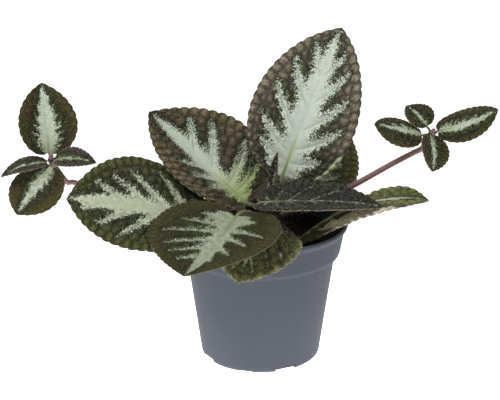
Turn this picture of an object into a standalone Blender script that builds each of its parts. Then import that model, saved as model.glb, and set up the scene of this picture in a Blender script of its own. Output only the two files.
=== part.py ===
"""Flame violet in a nursery pot: a short crown in peat, wavy pleated leaves and two runners with plantlets.

Blender 4.5, metres, +Z up. The origin is the middle of the pot's underside and the pot's axis is Z.
Seen along +Y, the tall leaf stands at the top right and the runners reach out to the left and the right.
"""

import math
from types import SimpleNamespace

import bmesh
import bpy
from mathutils import Matrix, Vector

for old in list(bpy.data.objects):
    bpy.data.objects.remove(old)

# Pot, a thin moulded cone with a stepped rim band
POT_HEIGHT = 0.097
RIM_RADIUS = 0.060
WALL = 0.0013
BASE_RADIUS = 0.0370
FOOT_RADIUS = 0.0413
FOOT_HEIGHT = 0.0050
WAIST_RADIUS = 0.0509
WAIST_HEIGHT = 0.0730
BAND_RADIUS = 0.0548
BAND_HEIGHT = 0.0768
STEP_INSET = 0.0012
STEP_DROP = 0.0026
NECK_RADIUS = 0.0574
NECK_HEIGHT = 0.0915
LIP_DEPTH = 0.0030
LIP_ROUND = 0.0006
FLOOR_THICKNESS = 0.0022
FLOOR_ROUND = 0.0010
POT_SIDES = 44
NOTCH_COUNT = 4
NOTCH_ANGLE = math.radians(-64)
NOTCH_WIDTH = 0.0160
NOTCH_HEIGHT = 0.0040
NOTCH_REACH = 0.012
NOTCH_INSET = 0.002
DIP_TURN = math.radians(-41)
DIP_WIDTH = 0.0085
DIP_HEIGHT = 0.0016
DRAIN_RADIUS = 0.0042
DRAIN_RING = 0.021
DRAIN_SIDES = 10

# Soil and the crown that stands in it
CLEARANCE = 0.0003
SOIL_LEVEL = 0.0868
SOIL_BUMP = 0.0010
SOIL_RINGS = 6
SOIL_SIDES = 32
HOLE_SIDES = 20
HOLE_DEPTH = 0.009
CROWN_FOOT = Vector((0.007, 0.0015, SOIL_LEVEL - HOLE_DEPTH + CLEARANCE))
CROWN_TOP = Vector((0.007, 0.0015, 0.1125))
CROWN_RADIUS = 0.0046
CROWN_TOP_RADIUS = 0.0034
CROWN_SIDES = 10
CROWN_SWELL = 0.0005
CROWN_JOINTS = (0.0925, 0.0975, 0.1040, 0.1095)
JOINT_HALF = 0.0016

# Leaves: blade thickness, scallops, pleats and stalks
BLADE = 0.0009
SCALLOP = 0.0011
PLEAT = 0.0009
STALK_SIDES = 6
STALK_TAPER = (0.72, 0.60, 0.42)
STALK_REACH = 0.12
SINUS = 0.03
OUTLINE_STEPS = 240

# Runners and the short stems of their plantlets
RUNNER_RADIUS = 0.0021
RUNNER_TIP_RADIUS = 0.0017
RUNNER_SIDES = 7
LEFT_PLANTLET = Vector((-0.1420, -0.0005, 0.1405))
RIGHT_PLANTLET = Vector((0.1140, 0.0005, 0.1575))
PLANTLET_RADIUS = 0.0022
LEFT_ROUTE = (
    (-0.025, 0.010, 0.1020),
    (-0.058, 0.016, 0.1025),
    (-0.090, 0.014, 0.1080),
    (-0.112, 0.008, 0.1165),
    (-0.1274, 0.004, 0.1228),
    (-0.1325, 0.001, 0.1249),
)
RIGHT_ROUTE = (
    (0.0423, 0.011, 0.1069),
    (0.0641, 0.010, 0.1189),
    (0.0868, 0.007, 0.1336),
    (0.1024, 0.002, 0.1442),
    (0.1089, 0.0005, 0.1486),
)

BIG = dict(stations=16, rows=3, veins=7, stalk=0.0016, thickness=BLADE, scallop=SCALLOP, pleat=PLEAT)
SMALL = dict(stations=10, rows=2, veins=4, stalk=0.0009, thickness=0.0007, scallop=0.0006, pleat=0.0005)


def material(name, colour, roughness):
    made = bpy.data.materials.new(name)
    made.use_nodes = True
    shader = made.node_tree.nodes["Principled BSDF"]
    shader.inputs["Base Color"].default_value = (*colour, 1)
    shader.inputs["Roughness"].default_value = roughness
    return made


def add_object(name, mesh_maker, made_of, smooth=True):
    """An object at the origin from a bmesh in world coordinates."""
    mesh = bpy.data.meshes.new(name)
    bmesh.ops.recalc_face_normals(mesh_maker, faces=mesh_maker.faces)
    mesh_maker.to_mesh(mesh)
    mesh_maker.free()
    thing = bpy.data.objects.new(name, mesh)
    bpy.context.scene.collection.objects.link(thing)
    mesh.materials.append(made_of)
    if smooth:
        mesh.shade_smooth()
        mesh.set_sharp_from_angle(angle=math.radians(40))
    return thing


def apply_boolean(target, others, operation):
    """Joins the others to the target, or cuts them from it, and then removes them."""
    for other in others:
        modifier = target.modifiers.new(operation.lower(), "BOOLEAN")
        modifier.operation = operation
        modifier.object = other
    bpy.context.view_layer.update()
    graph = bpy.context.evaluated_depsgraph_get()
    joined = bpy.data.meshes.new_from_object(target.evaluated_get(graph))
    target.modifiers.clear()
    target.data = joined
    for other in others:
        bpy.data.objects.remove(other)


def turned(profile, sides):
    """A closed body turned about Z from a profile of (radius, height) that starts and ends on the axis."""
    made = bmesh.new()
    points = [made.verts.new((radius, 0, height)) for radius, height in profile]
    edges = [made.edges.new(pair) for pair in zip(points, points[1:])]
    bmesh.ops.spin(
        made,
        geom=points + edges,
        axis=(0, 0, 1),
        cent=(0, 0, 0),
        steps=sides,
        angle=math.tau,
        use_merge=True,
    )
    bmesh.ops.remove_doubles(made, verts=made.verts, dist=0.00001)
    return made


def arc(centre, radius, start, end, steps):
    """Points on an arc of a profile, with its angles in degrees."""
    angles = [math.radians(start + (end - start) * i / steps) for i in range(steps + 1)]
    return [(centre[0] + radius * math.cos(a), centre[1] + radius * math.sin(a)) for a in angles]


def pot_cutter(name, size, place, turn):
    made = bmesh.new()
    bmesh.ops.create_cube(made, size=1)
    bmesh.ops.scale(made, vec=size, verts=made.verts)
    bmesh.ops.translate(made, vec=place, verts=made.verts)
    bmesh.ops.rotate(made, cent=(0, 0, 0), matrix=turn, verts=made.verts)
    return add_object(name, made, POT_PLASTIC, smooth=False)


def turn_about_z(angle):
    return Matrix.Rotation(angle, 3, "Z")


def build_pot():
    """One moulded shell: rounded foot, cone, rim band with a step under it, and a small lip."""
    corner = FOOT_RADIUS - BASE_RADIUS
    foot = arc((BASE_RADIUS, corner), corner, -90, 0, 3)
    step = [
        (WAIST_RADIUS, WAIST_HEIGHT),
        (BAND_RADIUS - STEP_INSET, BAND_HEIGHT - STEP_DROP),
        (BAND_RADIUS, BAND_HEIGHT),
    ]
    lip = [
        (NECK_RADIUS, NECK_HEIGHT),
        (RIM_RADIUS - LIP_ROUND, POT_HEIGHT - LIP_DEPTH),
        (RIM_RADIUS, POT_HEIGHT - 2 * LIP_ROUND),
        (RIM_RADIUS - LIP_ROUND, POT_HEIGHT),
        (RIM_RADIUS - LIP_ROUND - WALL, POT_HEIGHT),
    ]
    inside = [
        (NECK_RADIUS - WALL, NECK_HEIGHT),
        (BAND_RADIUS - WALL, BAND_HEIGHT),
        (WAIST_RADIUS - WALL, WAIST_HEIGHT),
        (FOOT_RADIUS - WALL, FOOT_HEIGHT + FLOOR_ROUND),
        (BASE_RADIUS - WALL, FLOOR_THICKNESS),
        (0, FLOOR_THICKNESS),
    ]
    pot = add_object("pot", turned([(0, 0), *foot, *step, *lip, *inside], POT_SIDES), POT_PLASTIC)
    cutters = []
    for i in range(NOTCH_COUNT):
        angle = NOTCH_ANGLE + i * math.tau / NOTCH_COUNT
        reach = BASE_RADIUS - NOTCH_INSET + NOTCH_REACH / 2
        size = (NOTCH_REACH, NOTCH_WIDTH, 2 * NOTCH_HEIGHT)
        cutters.append(pot_cutter(f"notch_{i}", size, (reach, 0, 0), turn_about_z(angle)))
        size = (NOTCH_REACH, DIP_WIDTH, 2 * DIP_HEIGHT)
        cutters.append(pot_cutter(f"dip_{i}", size, (reach, 0, 0), turn_about_z(angle + DIP_TURN)))
        drain = bmesh.new()
        bmesh.ops.create_cone(
            drain,
            cap_ends=True,
            segments=DRAIN_SIDES,
            radius1=DRAIN_RADIUS,
            radius2=DRAIN_RADIUS,
            depth=4 * FLOOR_THICKNESS,
        )
        bmesh.ops.translate(drain, vec=(DRAIN_RING, 0, 0), verts=drain.verts)
        quarter = turn_about_z(angle + math.tau / NOTCH_COUNT / 2)
        bmesh.ops.rotate(drain, cent=(0, 0, 0), matrix=quarter, verts=drain.verts)
        cutters.append(add_object(f"drain_{i}", drain, POT_PLASTIC, smooth=False))
    apply_boolean(pot, cutters, "DIFFERENCE")


def crown_point(height):
    """The middle of the crown at a height, and its radius there."""
    share = (height - CROWN_FOOT.z) / (CROWN_TOP.z - CROWN_FOOT.z)
    radius = CROWN_RADIUS + (CROWN_TOP_RADIUS - CROWN_RADIUS) * share
    swell = sum(math.exp(-(((height - joint) / JOINT_HALF) ** 2)) for joint in CROWN_JOINTS)
    return CROWN_FOOT.lerp(CROWN_TOP, share), radius + CROWN_SWELL * swell


def inner_radius(height):
    """The pot's inner wall at a height."""
    share = (height - FOOT_HEIGHT) / (WAIST_HEIGHT - FOOT_HEIGHT)
    if share < 1:
        return FOOT_RADIUS - WALL + (WAIST_RADIUS - FOOT_RADIUS) * share
    share = (height - WAIST_HEIGHT) / (BAND_HEIGHT - WAIST_HEIGHT)
    if share < 1:
        return WAIST_RADIUS - WALL + (BAND_RADIUS - WAIST_RADIUS) * share
    share = (height - BAND_HEIGHT) / (NECK_HEIGHT - BAND_HEIGHT)
    return BAND_RADIUS - WALL + (NECK_RADIUS - BAND_RADIUS) * share


def build_soil():
    """Peat that fills the pot to below its rim, with a lumpy top and a plain hole for the crown."""
    gap = 2 * CLEARANCE
    edge = inner_radius(SOIL_LEVEL) - gap
    side = [
        (BAND_RADIUS - WALL - gap, BAND_HEIGHT),
        (WAIST_RADIUS - WALL - gap, WAIST_HEIGHT + CLEARANCE),
        (FOOT_RADIUS - WALL - gap, FOOT_HEIGHT + FLOOR_ROUND + CLEARANCE),
        (BASE_RADIUS - WALL - 2 * gap, FLOOR_THICKNESS + CLEARANCE),
        (0, FLOOR_THICKNESS + CLEARANCE),
    ]
    top = [(edge * ring / SOIL_RINGS, SOIL_LEVEL) for ring in range(SOIL_RINGS + 1)]
    made = turned([*top, *side], SOIL_SIDES)
    for vertex in made.verts:
        if vertex.co.z < SOIL_LEVEL - 0.0001:
            continue
        x, y = vertex.co.x * 1000, vertex.co.y * 1000
        lumps = math.sin(0.31 * x + 1.3) * math.cos(0.27 * y) + 0.6 * math.sin(0.17 * x - 0.41 * y)
        vertex.co.z += SOIL_BUMP * (lumps - 1)
    soil = add_object("soil", made, PEAT)
    hole = bmesh.new()
    bmesh.ops.create_cone(
        hole,
        cap_ends=True,
        segments=HOLE_SIDES,
        radius1=CROWN_RADIUS + 2 * CLEARANCE,
        radius2=CROWN_RADIUS + 2 * CLEARANCE,
        depth=2 * HOLE_DEPTH,
    )
    middle = crown_point(SOIL_LEVEL - HOLE_DEPTH)[0]
    bmesh.ops.translate(hole, vec=(middle.x, middle.y, SOIL_LEVEL), verts=hole.verts)
    apply_boolean(soil, [add_object("hole", hole, PEAT, smooth=False)], "DIFFERENCE")


def tube(path, radii, sides, seat=None):
    """A closed tube along points, with a radius at each. Its first end lies square to its seat."""
    made = bmesh.new()
    side = None
    rings = []
    for i, (point, radius) in enumerate(zip(path, radii)):
        before, after = path[max(i - 1, 0)], path[min(i + 1, len(path) - 1)]
        along = (after - before).normalized()
        if i == 0 and seat:
            along = seat
        guide = side if side else Vector((0.3, 0.2, 1)).cross(along).normalized()
        side = (guide - along * guide.dot(along)).normalized()
        up = along.cross(side)
        ring = []
        for k in range(sides):
            angle = math.tau * k / sides
            out = side * math.cos(angle) + up * math.sin(angle)
            ring.append(made.verts.new(point + radius * out))
        rings.append(ring)
    for low, high in zip(rings, rings[1:]):
        for k in range(sides):
            made.faces.new((low[k], low[(k + 1) % sides], high[(k + 1) % sides], high[k]))
    made.faces.new(rings[0][::-1])
    made.faces.new(rings[-1])
    return made


def bezier(start, first, second, end, steps):
    points = []
    for i in range(steps + 1):
        t = i / steps
        low = 1 - t
        near = start * low**3 + first * (3 * low * low * t)
        points.append(near + second * (3 * low * t * t) + end * t**3)
    return points


def spline(points, steps):
    """A smooth curve through points, as a list of points on it."""
    found = []
    for i in range(len(points) - 1):
        before = points[max(i - 1, 0)]
        after = points[min(i + 2, len(points) - 1)]
        here, there = points[i], points[i + 1]
        first = here + (there - before) / 6
        second = there - (after - here) / 6
        found += bezier(here, first, second, there, steps)[:-1]
    return found + [points[-1]]


def build_crown():
    """The short stem that carries every leaf, with a swelling at each pair of leaves."""
    heights = [CROWN_FOOT.z, SOIL_LEVEL]
    for joint in CROWN_JOINTS:
        heights += [joint - JOINT_HALF, joint, joint + JOINT_HALF]
    heights += [CROWN_TOP.z - JOINT_HALF / 2, CROWN_TOP.z]
    radii = [crown_point(height)[1] for height in heights]
    radii[-1] *= 0.6
    add_object("crown", tube([crown_point(height)[0] for height in heights], radii, CROWN_SIDES), STEM)


def half_outline(leaf, share):
    """(across, along) of the blade's edge at a share of its way from the stalk round to the tip."""
    steps = OUTLINE_STEPS
    if not hasattr(leaf, "edge"):
        edge = []
        for i in range(steps + 1):
            turn = math.pi * i / steps
            swell = math.sin(turn) * (1 - (turn / math.pi) ** leaf.point)
            swell *= 1 + leaf.skew * math.cos(turn)
            lobe = leaf.lobe * turn * (math.exp(-2 * turn) - math.exp(-2 * math.pi))
            edge.append((swell, leaf.length * ((1 - math.cos(turn)) / 2 - lobe)))
        widest = max(swell for swell, _ in edge)
        edge = [(0.5 * leaf.width * swell / widest, along) for swell, along in edge]
        lengths = [0.0]
        for (x0, y0), (x1, y1) in zip(edge, edge[1:]):
            lengths.append(lengths[-1] + math.hypot(x1 - x0, y1 - y0))
        leaf.edge, leaf.lengths = edge, lengths
    want = (SINUS + (1 - SINUS) * share) * leaf.lengths[-1]
    i = next(k for k in range(1, steps + 1) if leaf.lengths[k] >= want - 1e-12)
    part = (want - leaf.lengths[i - 1]) / (leaf.lengths[i] - leaf.lengths[i - 1])
    (x0, y0), (x1, y1) = leaf.edge[i - 1], leaf.edge[i]
    return x0 + (x1 - x0) * part, y0 + (y1 - y0) * part


def blade_point(leaf, across, along, raised=0.0):
    """A point of the blade's middle surface, from its place in the flat leaf."""
    reach = along / leaf.length
    half = leaf.width / 2
    fold = leaf.fold[0] if across < 0 else leaf.fold[1]
    fold *= 1 - leaf.open * min(max(reach, 0), 1)
    soft = 0.08 * half
    bow = leaf.length * 4 * reach * (1 - reach)
    lift = leaf.arch * bow - leaf.curl * leaf.length * max(reach, 0) ** 3
    lift += fold * (math.hypot(across, soft) - soft) + raised
    turn = math.radians(leaf.twist) * reach
    flat = across * math.cos(turn) - lift * math.sin(turn) + leaf.sway * bow
    up = across * math.sin(turn) + lift * math.cos(turn)
    return leaf.base + leaf.forward * along + leaf.side * flat + leaf.normal * up


def vein_point(leaf, side, share, out):
    """(across, along, raised) on the way out along a side vein, from the midrib (0) to the edge (1)."""
    across, along = half_outline(leaf, share)
    root = leaf.length * (0.25 * share + 0.75 * share**4)
    bow = 0.035 * leaf.length * math.sin(math.pi * out) * 4 * share * (1 - share)
    ridge = -math.cos(math.tau * share * leaf.veins)
    raised = leaf.pleat * ridge * math.sin(math.pi * min(out, 0.92)) * math.sin(math.pi * share)
    return side * across * out, root + (along - root) * out - bow, raised


def build_leaf(name, base, tip, face, width, hold, **shape):
    """A pleated blade with a scalloped edge on a round stalk, joined into one body."""
    leaf = SimpleNamespace(curl=0.0, twist=0.0, sway=0.0, open=0.0)
    vars(leaf).update(shape)
    leaf.base = Vector(base)
    leaf.length = (Vector(tip) - leaf.base).length
    leaf.width = width
    leaf.forward = (Vector(tip) - leaf.base).normalized()
    face = Vector(face)
    leaf.normal = (face - leaf.forward * face.dot(leaf.forward)).normalized()
    leaf.side = leaf.forward.cross(leaf.normal)

    made = bmesh.new()
    rows = [row / leaf.rows for row in range(-leaf.rows, leaf.rows + 1)]
    grid = {}
    for station in range(leaf.stations + 1):
        share = station / leaf.stations
        for row in rows:
            side = -1 if row < 0 else 1
            across, along, raised = vein_point(leaf, side, share, abs(row))
            if abs(row) == 1:
                across, along = scalloped(leaf, share, across, along, 0.0)
            grid[station, row] = made.verts.new(blade_point(leaf, across, along, raised))
    for station in range(leaf.stations):
        for inner, outer in zip(rows, rows[1:]):
            near = [grid[station, inner], grid[station, outer]]
            corners = near + [grid[station + 1, outer], grid[station + 1, inner]]
            edge_row = outer if outer == 1 else inner if inner == -1 else None
            if edge_row:
                share = (station + 0.5) / leaf.stations
                across, along, raised = vein_point(leaf, edge_row, share, 1)
                across, along = scalloped(leaf, share, across, along, 1.0)
                crest = made.verts.new(blade_point(leaf, across, along, raised))
                place = 2 if edge_row == 1 else 4
                corners.insert(place, crest)
            made.faces.new(corners)
    bmesh.ops.remove_doubles(made, verts=made.verts, dist=0.00005)
    bmesh.ops.triangulate(made, faces=made.faces, quad_method="FIXED", ngon_method="BEAUTY")
    blade = add_object(name, made, LEAF)
    thick = blade.modifiers.new("thick", "SOLIDIFY")
    thick.thickness = leaf.thickness
    thick.offset = 0

    reach = STALK_REACH * leaf.length
    under = -0.9 * leaf.thickness
    inside = [blade_point(leaf, 0, reach * part, under) for part in (0.35, 0.7, 1.0)]
    out = (hold.way + 0.5 * leaf.normal).normalized()
    arrive = (inside[0] - blade_point(leaf, 0, 0, under)).normalized()
    long = (leaf.base - hold.start).length
    stalk_end = blade_point(leaf, 0, 0, under)
    steps = 5 if long > 0.010 else 2
    bend = hold.start + out * long * 0.35
    path = bezier(hold.start, bend, stalk_end - arrive * long * 0.3, stalk_end, steps)
    radii = [leaf.stalk * (1 - 0.2 * i / steps) for i in range(steps + 1)]
    radii += [leaf.stalk * part for part in STALK_TAPER]
    stalk = add_object(name + "_stalk", tube(path + inside, radii, STALK_SIDES, hold.way), LEAF)
    apply_boolean(blade, [stalk], "UNION")


def scalloped(leaf, share, across, along, crest):
    """Draws the edge in at the notches between the round teeth."""
    half_round = math.sin(math.pi * share) ** 0.35
    depth = leaf.scallop * (1 - crest) * half_round
    root = leaf.length * 0.45
    away = Vector((across, along - root))
    if away.length < 1e-6:
        return across, along
    drawn = away * (1 - depth / away.length)
    return drawn.x, drawn.y + root


def on_crown(angle, height):
    """Where a stalk leaves the crown, at an angle in degrees from +X and a height."""
    middle, radius = crown_point(height)
    way = Vector((math.cos(math.radians(angle)), math.sin(math.radians(angle)), 0))
    return SimpleNamespace(start=middle + way * (radius + CLEARANCE), way=way)


def on_plantlet(centre, way):
    way = Vector(way).normalized()
    return SimpleNamespace(start=centre + way * (PLANTLET_RADIUS + CLEARANCE), way=way)


def build_runner(name, hold, route, centre):
    """A runner from the crown to the knob that its plantlet's leaves grow from."""
    points = [hold.start, *[Vector(point) for point in route], centre]
    path = spline(points, 4)
    count = len(path) - 1
    thinning = (RUNNER_TIP_RADIUS - RUNNER_RADIUS) / count
    radii = [RUNNER_RADIUS + thinning * i for i in range(count + 1)]
    runner = add_object(name, tube(path, radii, RUNNER_SIDES, hold.way), RUNNER)
    knob = bmesh.new()
    bmesh.ops.create_icosphere(knob, subdivisions=1, radius=PLANTLET_RADIUS)
    bmesh.ops.translate(knob, vec=centre, verts=knob.verts)
    apply_boolean(runner, [add_object(name + "_knob", knob, RUNNER)], "UNION")


def build_bud(name, centre, way, length):
    """A pair of unopened leaves, pressed together, at a plantlet's middle."""
    way = Vector(way).normalized()
    start = centre + way * (PLANTLET_RADIUS + CLEARANCE)
    path = [start + way * length * part for part in (0, 0.25, 0.6, 1.0)]
    radii = [0.0008, 0.0015, 0.0013, 0.0004]
    add_object(name, tube(path, radii, 6), RUNNER)


POT_PLASTIC = material("pot_plastic", (0.115, 0.125, 0.155), 0.5)
PEAT = material("peat", (0.018, 0.013, 0.010), 0.95)
STEM = material("stem", (0.12, 0.07, 0.05), 0.7)
LEAF = material("leaf", (0.075, 0.085, 0.035), 0.6)
RUNNER = material("runner", (0.25, 0.12, 0.12), 0.6)

build_pot()
build_soil()
build_crown()

# Grown leaves: where the stalk leaves the crown (angle, height), the blade's base and tip, the way its
# face looks, its width, and how it arches, curls, folds along the midrib, opens to the tip and twists
GROWN = {
    "leaf_top": dict(
        hold=(40, 0.1090), base=(0.015, 0.013, 0.1245), tip=(0.056, 0.045, 0.2205),
        face=(-0.18, -0.91, 0.38), width=0.076, arch=0.04, curl=-0.02, fold=(0.19, 0.17),
        lobe=0.16, skew=0.17, twist=8, point=6.6,
    ),
    "leaf_upper_left": dict(
        hold=(172, 0.1040), base=(-0.0115, 0.004, 0.110), tip=(-0.076, 0.030, 0.1665),
        face=(0.50, -0.40, 0.76), width=0.081, arch=-0.02, curl=0.02, fold=(0.42, 0.42),
        lobe=0.50, skew=0.27, twist=21, sway=0.01, point=5.3,
    ),
    "leaf_left": dict(
        hold=(196, 0.0915), base=(-0.036, -0.026, 0.1055), tip=(-0.127, -0.046, 0.129),
        face=(0.30, -0.30, 0.90), width=0.078, arch=0.04, fold=(0.05, 0.16),
        lobe=0.39, skew=-0.02, twist=21, point=5.9,
    ),
    "leaf_front_left": dict(
        hold=(232, 0.0975), base=(-0.017, -0.0435, 0.1145), tip=(-0.0485, -0.1065, 0.096),
        face=(-0.05, -0.26, 0.97), width=0.089, arch=-0.04, curl=-0.04, fold=(0.34, 0.24),
        lobe=0.60, skew=0.06, twist=-5, point=5.5,
    ),
    "leaf_front": dict(
        hold=(285, 0.0915), base=(0.013, -0.028, 0.101), tip=(-0.015, -0.089, 0.0895),
        face=(0.19, -0.27, 0.94), width=0.054, arch=0.14, curl=0.03, fold=(-0.01, -0.17),
        lobe=0.27, skew=-0.11, twist=-8, sway=0.02, point=6.7,
    ),
    "leaf_right": dict(
        hold=(265, 0.1040), base=(0.0015, -0.029, 0.1200), tip=(0.0810, -0.036, 0.1215),
        face=(0.0, 0.01, 1.0), width=0.062, arch=0.02, curl=0.02, fold=(0.17, 0.17),
        lobe=0.55, skew=0.23, twist=-1, point=4.7,
    ),
    "leaf_far_right": dict(
        hold=(325, 0.0930), base=(0.028, -0.022, 0.0932), tip=(0.1134, -0.015, 0.114),
        face=(-0.24, 0.16, 0.99), width=0.053, arch=0.12, curl=-0.04, fold=(-0.47, -0.30),
        lobe=0.39, skew=-0.30, twist=-7, point=14, open=1.6,
    ),
    "leaf_back_right": dict(
        hold=(34, 0.1030), base=(0.0205, 0.024, 0.1105), tip=(0.056, 0.082, 0.1375),
        face=(0.32, -0.55, 0.77), width=0.069, arch=0.04, curl=-0.11, fold=(0.15, 0.18),
        lobe=0.39, skew=0.18, twist=3, point=5.8,
    ),
    "leaf_back": dict(
        hold=(88, 0.1000), base=(0.005, 0.030, 0.104), tip=(0.021, 0.100, 0.108),
        face=(0.04, -0.06, 1.0), width=0.046, arch=0.05, curl=0.03, fold=(0.15, 0.15),
        lobe=0.38, skew=0.2, point=5.0,
    ),
    "leaf_back_left": dict(
        hold=(128, 0.1045), base=(-0.016, 0.028, 0.109), tip=(-0.064, 0.074, 0.110),
        face=(-0.12, -0.11, 0.98), width=0.046, arch=0.05, curl=0.03, fold=(0.15, 0.15),
        lobe=0.38, skew=0.2, point=5.0,
    ),
    "leaf_low_back": dict(
        hold=(55, 0.0920), base=(0.018, 0.021, 0.097), tip=(0.052, 0.068, 0.100),
        face=(0.10, -0.03, 0.99), width=0.042, arch=0.06, curl=0.03, fold=(0.15, 0.15),
        lobe=0.38, skew=0.2, point=5.0,
    ),
}

# Plantlet leaves: the way that the stalk leaves the plantlet's stem, then as above
LEFT_LEAVES = {
    "left_plantlet_leaf_up": dict(
        hold=(-0.2, 0.5, 0.85), base=(-0.1435, 0.002, 0.145), tip=(-0.1485, 0.020, 0.189),
        face=(0.36, -0.85, 0.39), width=0.041, arch=0.05, curl=0.03, fold=(0.27, 0.23),
        lobe=0.29, skew=0.15, twist=6, point=5.4,
    ),
    "left_plantlet_leaf_right": dict(
        hold=(1.0, 0.0, 0.4), base=(-0.1380, -0.0022, 0.1410), tip=(-0.111, -0.006, 0.141),
        face=(-0.11, -0.47, 0.88), width=0.017, arch=0.08, curl=0.04, fold=(0.35, 0.18),
        lobe=0.35, skew=0.19, twist=-4, point=5.1,
    ),
    "left_plantlet_leaf_left": dict(
        hold=(-1.0, -0.3, -0.2), base=(-0.1460, -0.0022, 0.1390), tip=(-0.175, -0.010, 0.1325),
        face=(-0.12, -0.34, 0.93), width=0.016, arch=0.07, curl=0.03, fold=(0.21, 0.20),
        lobe=0.35, skew=0.20, twist=-1, point=5.0,
    ),
    "left_plantlet_leaf_down": dict(
        hold=(-0.1, -0.9, -0.35), base=(-0.1412, -0.0062, 0.1368), tip=(-0.1625, -0.0250, 0.109),
        face=(-0.40, -0.57, 0.72), width=0.044, arch=0.04, curl=-0.06, fold=(-0.03, -0.14),
        lobe=0.32, skew=0.05, twist=10, point=5.8,
    ),
}
RIGHT_LEAVES = {
    "right_plantlet_leaf_right": dict(
        hold=(1.0, 0.0, 0.4), base=(0.120, 0.000, 0.161), tip=(0.160, 0.006, 0.174),
        face=(0.14, -0.99, 0.03), width=0.023, arch=0.07, curl=0.01, fold=(0.31, 0.23),
        lobe=0.33, skew=0.10, sway=0.02, point=5.9,
    ),
    "right_plantlet_leaf_left": dict(
        hold=(-1.0, -0.4, 0.2), base=(0.1070, -0.0020, 0.1590), tip=(0.0755, -0.004, 0.165),
        face=(0.18, -0.35, 0.92), width=0.030, arch=0.04, curl=-0.08, fold=(-0.18, -0.24),
        lobe=0.36, skew=0.13, twist=7, point=6.7,
    ),
    "right_plantlet_leaf_up": dict(
        hold=(0.0, 0.7, 0.7), base=(0.1120, 0.0055, 0.1630), tip=(0.0992, 0.017, 0.174),
        face=(0.21, -0.59, 0.78), width=0.021, arch=0.05, curl=0.05, fold=(0.23, 0.27),
        lobe=0.32, skew=0.18, twist=2, point=5.3,
    ),
    "right_plantlet_leaf_down": dict(
        hold=(0.0, -1.0, 0.1), base=(0.114, -0.004, 0.1585), tip=(0.114, -0.017, 0.1375),
        face=(0.50, -0.75, 0.44), width=0.024, arch=0.07, curl=-0.04, fold=(0.21, 0.28),
        lobe=0.33, skew=0.02, twist=7, sway=-0.02, point=6.4,
    ),
}

for name, shape in GROWN.items():
    values = dict(BIG)
    values.update(shape)
    values["hold"] = on_crown(*shape["hold"])
    build_leaf(name, **values)
for centre, leaves in ((LEFT_PLANTLET, LEFT_LEAVES), (RIGHT_PLANTLET, RIGHT_LEAVES)):
    for name, shape in leaves.items():
        values = dict(SMALL)
        values.update(shape)
        values["hold"] = on_plantlet(centre, shape["hold"])
        build_leaf(name, **values)

young = SimpleNamespace(start=CROWN_TOP + Vector((0, 0, CLEARANCE)), way=Vector((0, 0, 1)))
build_leaf(
    "leaf_young", hold=young, base=(0.009, 0.002, 0.1185), tip=(0.0115, 0.003, 0.1450),
    face=(-0.5, -0.8, 0.2), width=0.0065, arch=0.02, fold=(0.9, 0.9),
    lobe=0.10, skew=0.15, point=5.0, **SMALL,
)
build_runner("stolon_left", on_crown(160, 0.0975), LEFT_ROUTE, LEFT_PLANTLET)
build_runner("stolon_right", on_crown(12, 0.0975), RIGHT_ROUTE, RIGHT_PLANTLET)
build_bud("left_plantlet_bud", LEFT_PLANTLET, (0.1, -0.6, 0.8), 0.005)
build_bud("right_plantlet_bud", RIGHT_PLANTLET, (0.45, -0.35, 0.85), 0.004)
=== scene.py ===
"""Looks of the potted flame violet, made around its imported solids, for Blender 4.5.

Metres, +Z up, the origin in the middle of the pot's underside. The photograph looks along +Y.
Each piece stands for one solid: same place, same outline, finer surface.
"""

import bisect
import math
import random
from types import SimpleNamespace

import bmesh
import bpy
from mathutils import Matrix, Vector, noise


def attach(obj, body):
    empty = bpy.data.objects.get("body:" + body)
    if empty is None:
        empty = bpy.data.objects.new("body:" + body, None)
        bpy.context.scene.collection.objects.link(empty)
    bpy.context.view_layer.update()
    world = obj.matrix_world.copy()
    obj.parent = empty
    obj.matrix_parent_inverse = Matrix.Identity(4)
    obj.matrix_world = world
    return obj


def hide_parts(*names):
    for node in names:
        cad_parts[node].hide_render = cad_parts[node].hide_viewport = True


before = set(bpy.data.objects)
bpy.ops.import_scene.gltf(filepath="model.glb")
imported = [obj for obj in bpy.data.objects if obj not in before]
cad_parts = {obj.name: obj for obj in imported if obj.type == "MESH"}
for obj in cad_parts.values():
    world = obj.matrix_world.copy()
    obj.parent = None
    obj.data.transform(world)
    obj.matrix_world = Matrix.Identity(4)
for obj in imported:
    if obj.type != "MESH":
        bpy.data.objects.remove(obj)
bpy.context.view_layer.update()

# Nursery pot: one thin shell of injection-moulded polypropylene, coloured grey-blue right through.
# The mould gives it a rounded foot, a cone, a stepped rim band and a small lip. Four notches and four
# shallow dips in the foot and four holes in the floor let water out.
POT_HEIGHT = 0.097
RIM_RADIUS = 0.060
WALL = 0.0013
BASE_RADIUS = 0.0370
FOOT_RADIUS = 0.0413
WAIST_RADIUS = 0.0509
WAIST_HEIGHT = 0.0730
BAND_RADIUS = 0.0548
BAND_HEIGHT = 0.0768
NECK_RADIUS = 0.0574
NECK_HEIGHT = 0.0915
STEP_INSET = 0.0012
STEP_DROP = 0.0026
LIP_DEPTH = 0.0030
LIP_ROUND = 0.0006
FLOOR_THICKNESS = 0.0022
FLOOR_CORNER = 0.0017
FOOT_STEPS = 8
POT_SIDES = 144
RING_ROUND = 0.0004
RING_BEND = math.radians(12)
PLAIN_FOOT = 0.01
NOTCH_COUNT = 4
NOTCH_ANGLE = math.radians(-64)
NOTCH_SIZE = (0.012, 0.0160, 0.0080)
NOTCH_INSET = 0.002
NOTCH_ROUND = 0.0006
DIP_TURN = math.radians(-41)
DIP_SIZE = (0.012, 0.0085, 0.0032)
DRAIN_RADIUS = 0.0042
DRAIN_RING = 0.021
DRAIN_SIDES = 28
DRAIN_DEPTH = 0.02
SHARP_ANGLE = math.radians(35)


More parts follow.
